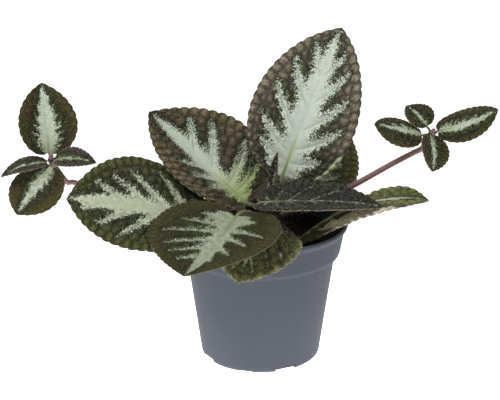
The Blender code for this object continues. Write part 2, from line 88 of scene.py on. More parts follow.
def linear(colour):
    """An sRGB hex colour as linear red, green, blue and alpha."""
    parts = [int(colour[i:i + 2], 16) / 255 for i in (1, 3, 5)]
    straight = [part / 12.92 if part <= 0.04045 else ((part + 0.055) / 1.055) ** 2.4 for part in parts]
    return (*straight, 1)


def add_node(tree, kind, inputs, **settings):
    """Adds a node with its settings, and sets or links its inputs, which are named or numbered."""
    node = tree.nodes.new(kind)
    for name, value in settings.items():
        setattr(node, name, value)
    for name, value in inputs.items():
        if isinstance(value, bpy.types.NodeSocket):
            tree.links.new(value, node.inputs[name])
        else:
            node.inputs[name].default_value = value
    return node


def noise_at(tree, place, scale, detail, rough=0.5):
    """Noise with lumps of 1 / scale metres."""
    inputs = {"Vector": place, "Scale": scale, "Detail": detail, "Roughness": rough}
    return add_node(tree, "ShaderNodeTexNoise", inputs).outputs[0]


def maths(tree, operation, *values, clamp=False):
    """The result of a sum, product or other operation on numbers or sockets."""
    inputs = dict(enumerate(values))
    return add_node(tree, "ShaderNodeMath", inputs, operation=operation, use_clamp=clamp).outputs[0]


def blended(tree, share, under, over, kind="MIX"):
    """One colour over another by a share."""
    inputs = {0: share, 6: under, 7: over}
    return add_node(tree, "ShaderNodeMix", inputs, data_type="RGBA", blend_type=kind).outputs[2]


def cover(tree, shader, colour, height, strength, depth):
    """Gives the shader its colour, and a relief that is depth metres tall at most."""
    bump = add_node(tree, "ShaderNodeBump", {"Strength": strength, "Distance": depth, "Height": height})
    tree.links.new(colour, shader.inputs["Base Color"])
    tree.links.new(bump.outputs[0], shader.inputs["Normal"])


def new_material(name, **sockets):
    """A Principled material with constants on its own sockets, its tree and its shader."""
    made = bpy.data.materials.new(name)
    made.use_nodes = True
    shader = made.node_tree.nodes["Principled BSDF"]
    for socket, value in sockets.items():
        shader.inputs[socket.replace("_", " ")].default_value = value
    return made, made.node_tree, shader


def polypropylene():
    """Moulded polypropylene: satin, faintly cloudy, with fine upright flow marks from the mould."""
    made, tree, shader = new_material(
        "moulded_polypropylene", Roughness=0.6, Specular_IOR_Level=0.1, IOR=1.35
    )
    place = add_node(tree, "ShaderNodeTexCoord", {}).outputs["Object"]
    drawn = add_node(tree, "ShaderNodeMapping", {"Vector": place, "Scale": (1, 1, 0.08)}).outputs[0]
    both = maths(tree, "ADD", noise_at(tree, place, 28, 3), noise_at(tree, drawn, 420, 2))
    share = add_node(tree, "ShaderNodeMapRange", {0: both, 1: 0.7, 2: 1.3}).outputs[0]
    colour = blended(tree, share, linear("#4e525b"), linear("#50545d"))
    cover(tree, shader, colour, noise_at(tree, place, 1400, 2), 0.12, 0.0002)
    return made


def turned(profile, sides):
    """A profile of (radius, height) points that starts and ends on the axis, spun about Z."""
    shape = bmesh.new()
    points = [shape.verts.new((radius, 0, height)) for radius, height in profile]
    edges = [shape.edges.new(pair) for pair in zip(points, points[1:])]
    bmesh.ops.spin(
        shape, geom=points + edges, axis=(0, 0, 1), cent=(0, 0, 0),
        steps=sides, angle=math.tau, use_merge=True,
    )
    bmesh.ops.remove_doubles(shape, verts=shape.verts, dist=0.00001)
    bmesh.ops.recalc_face_normals(shape, faces=shape.faces)
    return shape


def add_to_scene(name, data):
    """An object of the scene for a mesh, a light or a camera."""
    made = bpy.data.objects.new(name, data)
    bpy.context.scene.collection.objects.link(made)
    return made


def new_object(name, shape, materials):
    """An object at the origin from a mesh in the frame's own metres."""
    mesh = bpy.data.meshes.new(name)
    shape.to_mesh(mesh)
    shape.free()
    for material in materials:
        mesh.materials.append(material)
    mesh.shade_smooth()
    return add_to_scene(name, mesh)


def evaluated_mesh(thing):
    """The mesh that the object's modifiers make."""
    bpy.context.view_layer.update()
    return bpy.data.meshes.new_from_object(thing.evaluated_get(bpy.context.evaluated_depsgraph_get()))


def place_piece(piece, node):
    """The piece rides on the one body and stands for its solid, which it hides."""
    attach(piece, "root")
    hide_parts(node)


def round_edges(shape, edges, radius):
    """Small rounds on the given edges, as a mould has them."""
    bmesh.ops.bevel(
        shape, geom=edges, offset=radius, segments=3, profile=0.5,
        affect="EDGES", material=-1, clamp_overlap=True,
    )


def pot_shell():
    """The shell's profile, up its outside and down its inside, spun and rounded at its rings."""
    corner = FOOT_RADIUS - BASE_RADIUS
    foot = []
    for step in range(FOOT_STEPS + 1):
        angle = math.radians(-90 + 90 * step / FOOT_STEPS)
        foot.append((BASE_RADIUS + corner * math.cos(angle), corner + corner * math.sin(angle)))
    outside = [
        (WAIST_RADIUS, WAIST_HEIGHT),
        (BAND_RADIUS - STEP_INSET, BAND_HEIGHT - STEP_DROP),
        (BAND_RADIUS, BAND_HEIGHT),
        (NECK_RADIUS, NECK_HEIGHT),
        (RIM_RADIUS - LIP_ROUND, POT_HEIGHT - LIP_DEPTH),
        (RIM_RADIUS, POT_HEIGHT - 2 * LIP_ROUND),
        (RIM_RADIUS - LIP_ROUND, POT_HEIGHT),
    ]
    inside = [(radius - WALL, height) for radius, height in reversed(outside)]
    inside += [(FOOT_RADIUS - WALL, corner + FLOOR_CORNER), (BASE_RADIUS - WALL, FLOOR_THICKNESS)]
    shape = turned([(0, 0), *foot, *outside, *inside, (0, FLOOR_THICKNESS)], POT_SIDES)
    rings = [edge for edge in shape.edges if abs(edge.verts[0].co.z - edge.verts[1].co.z) < 1e-6]
    rings = [edge for edge in rings if edge.verts[0].co.z > PLAIN_FOOT]
    round_edges(shape, [edge for edge in rings if edge.calc_face_angle(0) > RING_BEND], RING_ROUND)
    return shape


def cut_pot(pot):
    """Notches and dips in the foot and drain holes in the floor, cut by Booleans."""
    cutters = []
    for i in range(NOTCH_COUNT):
        angle = NOTCH_ANGLE + i * math.tau / NOTCH_COUNT
        for size, turn in ((NOTCH_SIZE, angle), (DIP_SIZE, angle + DIP_TURN)):
            notch = bmesh.new()
            bmesh.ops.create_cube(notch, size=1)
            bmesh.ops.scale(notch, vec=size, verts=notch.verts)
            round_edges(notch, notch.edges, NOTCH_ROUND)
            reach = BASE_RADIUS - NOTCH_INSET + size[0] / 2
            bmesh.ops.translate(notch, vec=(reach, 0, 0), verts=notch.verts)
            bmesh.ops.rotate(notch, cent=(0, 0, 0), matrix=Matrix.Rotation(turn, 3, "Z"), verts=notch.verts)
            cutters.append(new_object(f"notch_{i}", notch, []))
        drain = bmesh.new()
        bmesh.ops.create_cone(
            drain, cap_ends=True, segments=DRAIN_SIDES, depth=DRAIN_DEPTH,
            radius1=DRAIN_RADIUS, radius2=DRAIN_RADIUS,
        )
        bmesh.ops.translate(drain, vec=(DRAIN_RING, 0, 0), verts=drain.verts)
        quarter = Matrix.Rotation(angle + math.tau / NOTCH_COUNT / 2, 3, "Z")
        bmesh.ops.rotate(drain, cent=(0, 0, 0), matrix=quarter, verts=drain.verts)
        cutters.append(new_object(f"drain_{i}", drain, []))
    for cutter in cutters:
        modifier = pot.modifiers.new("cut", "BOOLEAN")
        modifier.operation = "DIFFERENCE"
        modifier.object = cutter
    cut = evaluated_mesh(pot)
    pot.modifiers.clear()
    pot.data = cut
    pot.data.set_sharp_from_angle(angle=SHARP_ANGLE)
    for cutter in cutters:
        bpy.data.objects.remove(cutter)


pot = new_object("pot_shell", pot_shell(), [polypropylene()])
cut_pot(pot)
place_piece(pot, "pot")

# Potting peat: damp milled sphagnum with coarse crumbs and a few fibres on top, nearly black: partly its own
# colour and partly painted shade, as the pot's inside lies in shade.
# It fills the shell to a centimetre below the rim and is pressed a little higher round the crown.
CLEARANCE = 0.0003
SOIL_LEVEL = 0.0868
SOIL_CORNER = 0.0063
SOIL_INSET = 0.0016
SOIL_RINGS = 40
SOIL_SIDES = 120
SOIL_ROUGHNESS = 0.0016
SOIL_DROP = 0.0010
LUMPS_A_METRE = 90
MOUND_HEIGHT = 0.0016
MOUND_RADIUS = 0.012
LITTER_BATCHES = 13
BATCH_CRUMBS = 40
BATCH_FIBRES = 7
CRUMB_SIZES = (0.0004, 0.0014)
FIBRE_LENGTHS = (0.003, 0.008)
FIBRE_RADII = (0.00025, 0.0001)
FIBRE_TILT = math.radians(82)
CROWN_PLACE = Vector((0.007, 0.0015, 0))


def damp_peat_and_painted_shade():
    """Damp peat, darkened further as painted shade: matt, with crumbs of one to two millimetres,
    in browner and blacker patches.
    """
    made, tree, shader = new_material("damp_peat_and_painted_shade", Roughness=0.93, Specular_IOR_Level=0.25)
    place = add_node(tree, "ShaderNodeTexCoord", {}).outputs["Object"]
    crumbs = add_node(tree, "ShaderNodeTexVoronoi", {"Vector": place, "Scale": 700}).outputs[0]
    colour = blended(tree, noise_at(tree, place, 160, 4), linear("#0f0d0b"), linear("#211a15"))
    cover(tree, shader, colour, crumbs, 0.7, 0.0008)
    return made


def soil_height(x, y):
    """The peat's surface: lumps and crumbs, and a low mound at the crown."""
    lumps = noise.fractal(Vector((x * LUMPS_A_METRE, y * LUMPS_A_METRE, 3.1)), 0.8, 2.1, 4)
    mound = math.exp(-((Vector((x, y, 0)) - CROWN_PLACE).length / MOUND_RADIUS) ** 2)
    return SOIL_LEVEL - SOIL_DROP + SOIL_ROUGHNESS * lumps + MOUND_HEIGHT * mound


def peat_body():
    """The filling, a little clear of the shell, with its rough top and the litter on it."""
    gap = 2 * CLEARANCE
    edge = NECK_RADIUS - WALL - SOIL_INSET
    side = [
        (BAND_RADIUS - WALL - gap, BAND_HEIGHT),
        (WAIST_RADIUS - WALL - gap, WAIST_HEIGHT),
        (FOOT_RADIUS - WALL - gap, SOIL_CORNER),
        (BASE_RADIUS - WALL - 2 * gap, FLOOR_THICKNESS + CLEARANCE),
        (0, FLOOR_THICKNESS + CLEARANCE),
    ]
    top = [(edge * ring / SOIL_RINGS, SOIL_LEVEL) for ring in range(SOIL_RINGS + 1)]
    shape = turned([*top, *side], SOIL_SIDES)
    for vertex in shape.verts:
        if vertex.co.z > SOIL_LEVEL - 0.0001:
            vertex.co.z = soil_height(vertex.co.x, vertex.co.y)
    add_litter(shape, edge)
    return shape


def scatter(draw, reach):
    """A random place within reach of the pot's axis."""
    angle, away = draw.uniform(0, math.tau), reach * math.sqrt(draw.random())
    return away * math.cos(angle), away * math.sin(angle)


def add_litter(shape, edge):
    """Crumbs and fibres that lie on the peat, made in small batches, which bmesh handles faster."""
    across = Matrix.Rotation(FIBRE_TILT, 4, "X")
    draw = random.Random(41)
    for _ in range(LITTER_BATCHES):
        batch = bmesh.new()
        for _ in range(BATCH_CRUMBS):
            x, y = scatter(draw, edge * 0.97)
            size = draw.uniform(*CRUMB_SIZES)
            turn = Matrix.Rotation(draw.uniform(0, math.tau), 4, Vector((draw.random(), draw.random(), 1)))
            wide, tall = draw.uniform(0.7, 1.5), draw.uniform(0.5, 0.9)
            stretch = Matrix.Diagonal((size * wide, size, size * tall, 1))
            there = Matrix.Translation((x, y, soil_height(x, y) + size * 0.2))
            bmesh.ops.create_icosphere(batch, subdivisions=1, radius=1, matrix=there @ turn @ stretch)
        for _ in range(BATCH_FIBRES):
            x, y = scatter(draw, edge * 0.9)
            there = Matrix.Translation((x, y, soil_height(x, y) + 0.0004))
            lie = Matrix.Rotation(draw.uniform(0, math.tau), 4, "Z") @ across
            bmesh.ops.create_cone(
                batch, cap_ends=True, segments=4, radius1=FIBRE_RADII[0], radius2=FIBRE_RADII[1],
                depth=draw.uniform(*FIBRE_LENGTHS), matrix=there @ lie,
            )
        join_batch(shape, batch)


def join_batch(shape, batch):
    """Adds one bmesh to another and frees it."""
    carrier = bpy.data.meshes.new("batch")
    batch.to_mesh(carrier)
    batch.free()
    shape.from_mesh(carrier)
    bpy.data.meshes.remove(carrier)


soil = new_object("peat_fill", peat_body(), [damp_peat_and_painted_shade()])
place_piece(soil, "soil")

# Crown: the plant's short fleshy stem, red-brown and hairy, with a swelling at each pair of leaves.
# It stands in the peat and carries every leaf stalk and both runners.
HOLE_DEPTH = 0.009
CROWN_LOW = SOIL_LEVEL - HOLE_DEPTH + CLEARANCE
CROWN_HIGH = 0.1125
CROWN_RADIUS = 0.0046
CROWN_TOP_RADIUS = 0.0034
CROWN_SWELL = 0.0005
CROWN_JOINTS = (0.0925, 0.0975, 0.1040, 0.1095)
JOINT_HALF = 0.0016
CROWN_RINGS = 44
CROWN_SIDES = 20
CROWN_HAIRS = 700
CROWN_HAIR = 0.0012
HAIR_RADIUS = 0.00010
HAIR_TILT = 0.45
HAIR_MIDDLE = 0.42
BATCH_HAIRS = 60
STEM_SKIN, STEM_HAIR = range(2)


def attribute(tree, name, output="Fac"):
    """A value that the mesh carries at its points."""
    return add_node(tree, "ShaderNodeAttribute", {}, attribute_name=name).outputs[output]


def hairy_stem(name, low, high, turn=(0.0, 1.0)):
    """Fleshy stem: satin skin under short hairs. It turns from low to high between two shares of its way."""
    made, tree, shader = new_material(
        name, Roughness=0.5, Sheen_Weight=0.35, Sheen_Roughness=0.4, Sheen_Tint=linear("#e6d8cc")
    )
    place = add_node(tree, "ShaderNodeTexCoord", {}).outputs["Object"]
    reach = attribute(tree, "reach")
    reach = add_node(tree, "ShaderNodeMapRange", {0: reach, 1: turn[0], 2: turn[1]}).outputs[0]
    mottle = noise_at(tree, place, 900, 3)
    share = maths(tree, "ADD", reach, maths(tree, "MULTIPLY_ADD", mottle, 0.6, -0.3), clamp=True)
    cover(tree, shader, blended(tree, share, linear(low), linear(high)), mottle, 0.4, 0.0003)
    return made


def plant_hair():
    """Plant hairs: clear pointed cells full of air, which look pale and slightly pink."""
    made, _, _ = new_material(
        "pale_plant_hair", Base_Color=linear("#cdbfb2"), Roughness=0.4, Specular_IOR_Level=0.3
    )
    return made


def add_tube(shape, path, radii, sides, seat=None, material=0):
    """Rings square to a path, bridged one to the next and closed at both ends."""
    layer = shape.verts.layers.float.get("reach") or shape.verts.layers.float.new("reach")
    side = None
    rings = []
    for i, (point, radius) in enumerate(zip(path, radii)):
        along = (path[min(i + 1, len(path) - 1)] - path[max(i - 1, 0)]).normalized()
        if i == 0 and seat:
            along = seat
        guide = side if side else Vector((0.3, 0.2, 1)).cross(along).normalized()
        side = (guide - along * guide.dot(along)).normalized()
        turn = Matrix((side, along.cross(side), along)).transposed().to_4x4()
        turn.translation = point
        ring = bmesh.ops.create_circle(shape, segments=sides, radius=radius, matrix=turn)["verts"]
        for vertex in ring:
            vertex[layer] = i / (len(path) - 1)
        rings.append(list({edge for vertex in ring for edge in vertex.link_edges}))
    faces = []
    for low, high in zip(rings, rings[1:]):
        faces += bmesh.ops.bridge_loops(shape, edges=low + high)["faces"]
    for end in (rings[0], rings[-1]):
        faces += bmesh.ops.edgeloop_fill(shape, edges=end)["faces"]
    bmesh.ops.recalc_face_normals(shape, faces=faces)
    for face in faces:
        face.material_index = material


def add_hairs(shape, spots, length, draw, material):
    """Short pointed hairs, each a three-sided cone that stands in the skin at a (point, way out)."""
    for first in range(0, len(spots), BATCH_HAIRS):
        batch = bmesh.new()
        for point, way in spots[first:first + BATCH_HAIRS]:
            tilt = Vector((draw.uniform(-1, 1), draw.uniform(-1, 1), draw.uniform(-1, 1))) * HAIR_TILT
            tall = length * draw.uniform(0.6, 1.3)
            turn = (way + tilt).to_track_quat("Z", "X").to_matrix().to_4x4()
            turn.translation = point + (way + tilt).normalized() * tall * HAIR_MIDDLE
            bmesh.ops.create_cone(
                batch, cap_ends=True, segments=3, radius1=HAIR_RADIUS, radius2=0, depth=tall, matrix=turn
            )
        for face in batch.faces:
            face.material_index = material
        join_batch(shape, batch)


def skin_spots(shape, count, draw, wanted, low=0.0):
    """Random (middle, normal) pairs of faces of the wanted material over a height, drawn by their areas."""
    faces = [face for face in shape.faces if face.material_index == wanted]
    faces = [face for face in faces if face.calc_center_median().z > low]
    areas = [face.calc_area() for face in faces]
    return [(face.calc_center_median(), face.normal.copy()) for face in draw.choices(faces, areas, k=count)]


def crown_point(height):
    """The middle of the crown at a height, and its radius there."""
    share = (height - CROWN_LOW) / (CROWN_HIGH - CROWN_LOW)
    radius = CROWN_RADIUS + (CROWN_TOP_RADIUS - CROWN_RADIUS) * share
    swell = sum(math.exp(-(((height - joint) / JOINT_HALF) ** 2)) for joint in CROWN_JOINTS)
    return Vector((CROWN_PLACE.x, CROWN_PLACE.y, height)), radius + CROWN_SWELL * swell


def crown_shape():
    """The stem's swelling tube, drawn in at its top, and its hairs over the peat."""
    shape = bmesh.new()
    heights = [CROWN_LOW + (CROWN_HIGH - CROWN_LOW) * i / CROWN_RINGS for i in range(CROWN_RINGS + 1)]
    radii = [crown_point(height)[1] for height in heights]
    radii[-3:] = [radii[-3] * 0.95, radii[-3] * 0.82, radii[-3] * 0.6]
    add_tube(shape, [crown_point(height)[0] for height in heights], radii, CROWN_SIDES)
    draw = random.Random(7)
    spots = skin_spots(shape, CROWN_HAIRS, draw, STEM_SKIN, SOIL_LEVEL)
    add_hairs(shape, spots, CROWN_HAIR, draw, STEM_HAIR)
    return shape


HAIR = plant_hair()
crown = new_object("crown_stem", crown_shape(), [hairy_stem("crown_skin", "#33241c", "#4f382f"), HAIR])
place_piece(crown, "crown")

# Top leaf: the tallest and palest, a quilted blade that stands nearly upright behind the others.
# Its skin grows as domed cells between sunken veins, one long cell to each round tooth of the edge.
# Air under the skin makes the silver, in a band at the midrib and a finger out along each side vein.
SINUS = 0.03
OUTLINE_STEPS = 240
STALK_REACH = 0.12
STALK_STEPS = 14
STALK_SIDES = 12
LEAF_THICKNESS = 0.0007
LEAF_HAIR = 0.0010
VEIN_SPREAD = 0.25
VEIN_BOW = 0.035
TOOTH_CENTRE = 0.45
MIDRIB_SUNK = 0.35
EDGE_CELL = 0.16
CELL_JITTER = 0.3
CELL_BASE = 0.6
FAR_AWAY = (1, 1)
MILLIMETRES = 1000
FINGER_SLOPE = 800
FINGER_FALL = 500
DEPTH_LIMIT = 6.0
TONGUE_REACH = 3.0
BORDER = 0.8
PATTERN_STEP = 0.37
UPPER, UNDER, RIM, STALK_SKIN, LEAF_HAIRS = range(5)
# A big leaf's usual values: its grid, its skin's cells and its edge's teeth, hairs on skin and rim, sizes in
# metres, the silver's band and merging in millimetres, where a rolled edge is painted with a pale rim and
# painted shade (from, to, start), and its bends
BIG = dict(
    stations=200, rows=36, cells=7, teeth=20, hairs=(1100, 700), stalk=0.0016, scallop=0.0013,
    pleat=0.0010, crease=0.0015, rib=0.0012, band=(6, 0.35, 0.95), merge=1.2,
    rolled=(-1.0, 0.0, 0.9), curl=0.0, twist=0.0, sway=0.0, open=0.0,
)


SKIN_LAYERS = ("silver", "cell", "rib", "reach", "out", "phase", "painted_roll")


def leaf_skin(
    name, silver, dark, olive, rib, bay="#2b3118", glow=0.3, speckle=10.0, green=0.85, crevice=0.45,
    down=0.5, gloss=0.3, frost=0.8, mottle=1.0, inside=0.5, rolled="#b7c290",
):
    """Leaf's upper skin: hairy and dark, with silver along its veins that ends in a border of specks."""
    made, tree, shader = new_material(
        name, Sheen_Weight=0.05, Sheen_Roughness=0.35, Sheen_Tint=linear("#d2cb9c"),
        Specular_IOR_Level=gloss,
    )
    flat = attribute(tree, "flat", "Vector")
    depth, cell, midrib, reach, out, phase, painted_roll = [attribute(tree, layer) for layer in SKIN_LAYERS]

    def noise_of(scale, detail, rough=0.5):
        return noise_at(tree, flat, scale, detail, rough)

    def spread(value, low, high, start=0.0, end=1.0):
        ends = {0: value, 1: low, 2: high, 3: start, 4: end}
        return add_node(tree, "ShaderNodeMapRange", ends, interpolation_type="SMOOTHSTEP").outputs[0]

    def times(first, second):
        return maths(tree, "MULTIPLY", first, second)

    def blend(share, under, over):
        return blended(tree, share, under, over)

    # Real hairs and air pockets are under half a millimetre. The specks stand for them at a millimetre, so
    # that they show, and tongues of three push the silver's border in and out
    specks = noise_of(1050, 1, 0.75)
    tongues = noise_of(300, 2)
    ragged = maths(tree, "MULTIPLY_ADD", specks, speckle, depth)
    ragged = maths(tree, "MULTIPLY_ADD", tongues, TONGUE_REACH, ragged)
    middle = 0.5 * (speckle + TONGUE_REACH)
    mask = spread(ragged, middle - BORDER, middle + BORDER)
    # Dark skin turns from brown to olive in patches of a centimetre and at the tip, and is darkest and
    # greenest in the bays between the silver's fingers
    patches = maths(tree, "MAXIMUM", spread(noise_of(75, 3), 0.38, 0.62), spread(reach, 0.65, 0.95))
    ground = blend(patches, linear(dark), linear(olive))
    near = spread(depth, -6.0, -1.0)
    ground = blend(times(near, 0.8), ground, linear(bay))
    inner = times(times(spread(depth, -4.5, -0.8), spread(out, 0.85, 0.5)), spread(tongues, 0.38, 0.55))
    inner = times(inner, spread(noise_of(50, 2), 0.38, 0.6, 0.15, 1.0))
    ground = blend(times(inner, green), ground, linear("#5f7c33"))
    # Painted shade: where a rolled edge is painted on, the skin behind its pale rim is darkened as if it lay
    # in the roll's shade
    ground = blend(spread(painted_roll, 0.1, 0.5, 0.0, 0.8), ground, linear("#45463c"))
    # Painted shade in the creases between the domed cells, by crevice, and a painted highlight on their
    # tops; where crevice is over one the creases show as pale veins. The specks make it grainy
    shade = times(spread(cell, 0.0, 1.0, crevice, 1.12), spread(specks, 0.3, 0.7, 0.45, 1.5))
    shade = times(shade, spread(out, 0.55, 0.92, inside, 1.0))
    ground = blended(tree, 1.0, ground, shade, "MULTIPLY")
    # Single hairs on the dark skin catch the light
    ground = blend(times(spread(noise_of(1900, 0), 0.66, 0.8), down), ground, linear("#aba785"))
    # Silver is smooth in the middle and greener at its border, with brighter and greyer specks. The sunken
    # veins run through it as grey lines, and the midrib has a colour of its own
    core = blend(spread(tongues, 0.3, 0.7, 0.0, mottle), linear(silver), linear("#c3cfc4"))
    shine = blend(spread(depth, 1.5, -2.5, 0.0, 0.45), core, linear("#9db087"))
    bright = times(spread(specks, 0.52, 0.68), spread(depth, 4.5, 0.0, 0.0, frost))
    shine = blend(bright, shine, linear("#eceed8"))
    pepper = times(spread(noise_of(1500, 0), 0.6, 0.72), spread(depth, 7.0, 1.0, 0.05, 0.8))
    shine = blend(pepper, shine, linear("#7f8b6c"))
    beside = maths(tree, "PINGPONG", phase, 0.5)
    line = times(spread(beside, 0.07, 0.01, 0.0, 0.55), spread(out, 0.02, 0.2))
    shine = blend(line, shine, linear("#93a38e"))
    foot = spread(reach, 0.38, 0.02)
    shine = blend(times(foot, glow), shine, linear(rib))
    colour = blend(mask, ground, shine)
    ribbed = times(midrib, spread(foot, 0.0, 0.8, 0.12, 1.0))
    colour = blend(ribbed, colour, linear(rib))
    # Painted highlight: the pale rim of the painted roll, standing for its lit underside
    rim = times(spread(painted_roll, 0.6, 0.9), spread(specks, 0.25, 0.6, 0.5, 1.0))
    colour = blend(rim, colour, linear(rolled))
    tree.links.new(spread(mask, 0.0, 1.0, 0.55, 0.45), shader.inputs["Roughness"])
    cover(tree, shader, colour, maths(tree, "MULTIPLY_ADD", cell, 2.5, specks), 0.5, 0.0006)
    return made


def leaf_underside(name, colour, vein):
    """Leaf's lower skin: dull, downy and paler, with the veins standing out as ribs."""
    made, tree, shader = new_material(
        name, Roughness=0.62, Sheen_Weight=0.3, Sheen_Roughness=0.4, Sheen_Tint=linear("#e0d4c8")
    )
    net = add_node(tree, "ShaderNodeMapRange", {0: attribute(tree, "cell"), 1: 0.32, 2: 0.05}).outputs[0]
    down = noise_at(tree, attribute(tree, "flat", "Vector"), 1800, 2)
    net = maths(tree, "MULTIPLY_ADD", down, 0.5, net)
    cover(tree, shader, blended(tree, net, linear(colour), linear(vein)), down, 0.4, 0.0003)
    return made


def ease(value, low=0.0, high=1.0):
    """0 up to low, 1 from high, and a smooth rise between."""
    share = min(max((value - low) / (high - low), 0.0), 1.0)
    return share * share * (3 - 2 * share)


def measure_outline(leaf):
    """Points along half of the leaf's edge, from the stalk round to the tip, and the way to each."""
    edge = []
    for i in range(OUTLINE_STEPS + 1):
        turn = math.pi * i / OUTLINE_STEPS
        swell = math.sin(turn) * (1 - (turn / math.pi) ** leaf.point)
        swell *= 1 + leaf.skew * math.cos(turn)
        lobe = leaf.lobe * turn * (math.exp(-2 * turn) - math.exp(-2 * math.pi))
        edge.append((swell, leaf.length * ((1 - math.cos(turn)) / 2 - lobe)))
    widest = max(swell for swell, _ in edge)
    leaf.edge = [(0.5 * leaf.width * swell / widest, along) for swell, along in edge]
    leaf.ways = [0.0]
    for (x0, y0), (x1, y1) in zip(leaf.edge, leaf.edge[1:]):
        leaf.ways.append(leaf.ways[-1] + math.hypot(x1 - x0, y1 - y0))


def half_outline(leaf, share):
    """(across, along) of the edge at a share of its way round to the tip."""
    want = (SINUS + (1 - SINUS) * share) * leaf.ways[-1]
    i = min(max(bisect.bisect_left(leaf.ways, want - 1e-12), 1), OUTLINE_STEPS)
    part = (want - leaf.ways[i - 1]) / (leaf.ways[i] - leaf.ways[i - 1])
    (x0, y0), (x1, y1) = leaf.edge[i - 1], leaf.edge[i]
    return x0 + (x1 - x0) * part, y0 + (y1 - y0) * part


def vein_place(leaf, end, share, out):
    """(across, along) on the way out along a side vein to its end at the edge, without its side's sign."""
    root = leaf.length * (VEIN_SPREAD * share + (1 - VEIN_SPREAD) * share ** 4)
    bow = VEIN_BOW * leaf.length * math.sin(math.pi * out) * 4 * share * (1 - share)
    return end[0] * out, root + (end[1] - root) * out - bow


def blade_point(leaf, across, along, raised=0.0):
    """A point of the bent blade, from its place in the flat leaf and its height over it."""
    reach = along / leaf.length
    fold = leaf.fold[0] if across < 0 else leaf.fold[1]
    fold *= 1 - leaf.open * min(max(reach, 0), 1)
    soft = 0.04 * leaf.width
    bow = leaf.length * 4 * reach * (1 - reach)
    lift = leaf.arch * bow - leaf.curl * leaf.length * max(reach, 0) ** 3
    lift += fold * (math.hypot(across, soft) - soft) + raised
    turn = math.radians(leaf.twist) * reach
    flat = across * math.cos(turn) - lift * math.sin(turn) + leaf.sway * bow
    up = across * math.sin(turn) + lift * math.cos(turn)
    return leaf.base + leaf.forward * along + leaf.side * flat + leaf.normal * up


def lay_cells(leaf, draw):
    """The middles of the skin's cells, in rows out from the midrib. The last row has one for each tooth."""
    leaf.row_cells = [round(leaf.teeth * (0.4 + 0.6 * (i + 1) / leaf.cells)) for i in range(leaf.cells)]
    leaf.middles = {}
    for i, count in enumerate(leaf.row_cells):
        last = i == leaf.cells - 1
        for j in range(-2, count + 2):
            for side in (-1, 1):
                outwards = 0 if last else draw.uniform(-CELL_JITTER, CELL_JITTER)
                forward = 0 if last else draw.uniform(-CELL_JITTER, CELL_JITTER)
                out = (1 - EDGE_CELL) * (i + 0.5 + outwards) / (leaf.cells - 1)
                out = 1 - EDGE_CELL / 2 if last else out
                share = min(max((j + 0.5 + forward) / count, 0.0), 1.0)
                leaf.middles[side, i, j] = vein_place(leaf, half_outline(leaf, share), share, out)


def cell_top(leaf, side, share, out, across, along):
    """0 in the creases between the skin's domed cells and 1 on top of them."""
    inner = 1 - EDGE_CELL
    row = int(out / inner * (leaf.cells - 1)) if out < inner else leaf.cells - 1
    near = []
    for i in range(max(row - 2, 0), min(row + 3, leaf.cells)):
        column = int(share * leaf.row_cells[i])
        for j in range(column - 2, column + 3):
            middle = leaf.middles.get((side, i, j), FAR_AWAY)
            near.append(math.hypot(abs(across) - middle[0], along - middle[1]))
    near.sort()
    # The outermost part of the blade rounds down to its rim
    rounded = math.sqrt(max(0.0, 1 - max(0.0, (out - 0.93) / 0.07) ** 2))
    size = leaf.ways[-1] / leaf.teeth
    return ease((near[1] - near[0]) / size, -0.1, 0.75) * rounded


def silver_depth(leaf, side, out, across, along):
    """Millimetres inside the silver's border: a band at the midrib and a tapering finger on each vein."""
    half, top, tip = leaf.band
    reach = along / leaf.length
    swell = 1 - ((reach - top) / (tip - top)) ** 2 if reach > top else 0.5 + 0.5 * max(reach, 0) / top
    pieces = [half * max(swell, 0.0) - MILLIMETRES * abs(across)]
    if reach > tip:
        pieces = [-MILLIMETRES * math.hypot(across, along - tip * leaf.length)]
    for (share, end, width), edge in zip(leaf.fingers[side], leaf.finger_ends[side]):
        vein = vein_place(leaf, edge, share, out)
        away = FINGER_SLOPE * math.hypot(abs(across) - vein[0], along - vein[1])
        if out < end:
            pieces.append(width * (1 - out / end) ** 0.6 - away)
        else:
            pieces.append(-away - FINGER_FALL * leaf.width * (out - end))
    most = max(pieces)
    most += leaf.merge * math.log(sum(math.exp((piece - most) / leaf.merge) for piece in pieces))
    return max(-DEPTH_LIMIT, min(DEPTH_LIMIT, most))


def vein_phase(leaf, side, share):
    """Counts the veins up to a share of the edge: a whole number on each vein, a half between two."""
    marks = leaf.marks[side]
    i = min(max(bisect.bisect_right(marks, share), 1), len(marks) - 1)
    return i - 1 + (share - marks[i - 1]) / (marks[i] - marks[i - 1])


def scalloped(leaf, share, out, across, along):
    """Draws the edge in at the notches between the round teeth."""
    crest = abs(math.sin(math.pi * share * leaf.teeth)) ** 0.6
    depth = leaf.scallop * (1 - crest) * math.sin(math.pi * share) ** 0.35 * ease(out, 0.86, 1.0)
    root = leaf.length * TOOTH_CENTRE
    away = Vector((across, along - root))
    if away.length < 1e-6:
        return across, along
    drawn = away * (1 - depth / away.length)
    return drawn.x, drawn.y + root


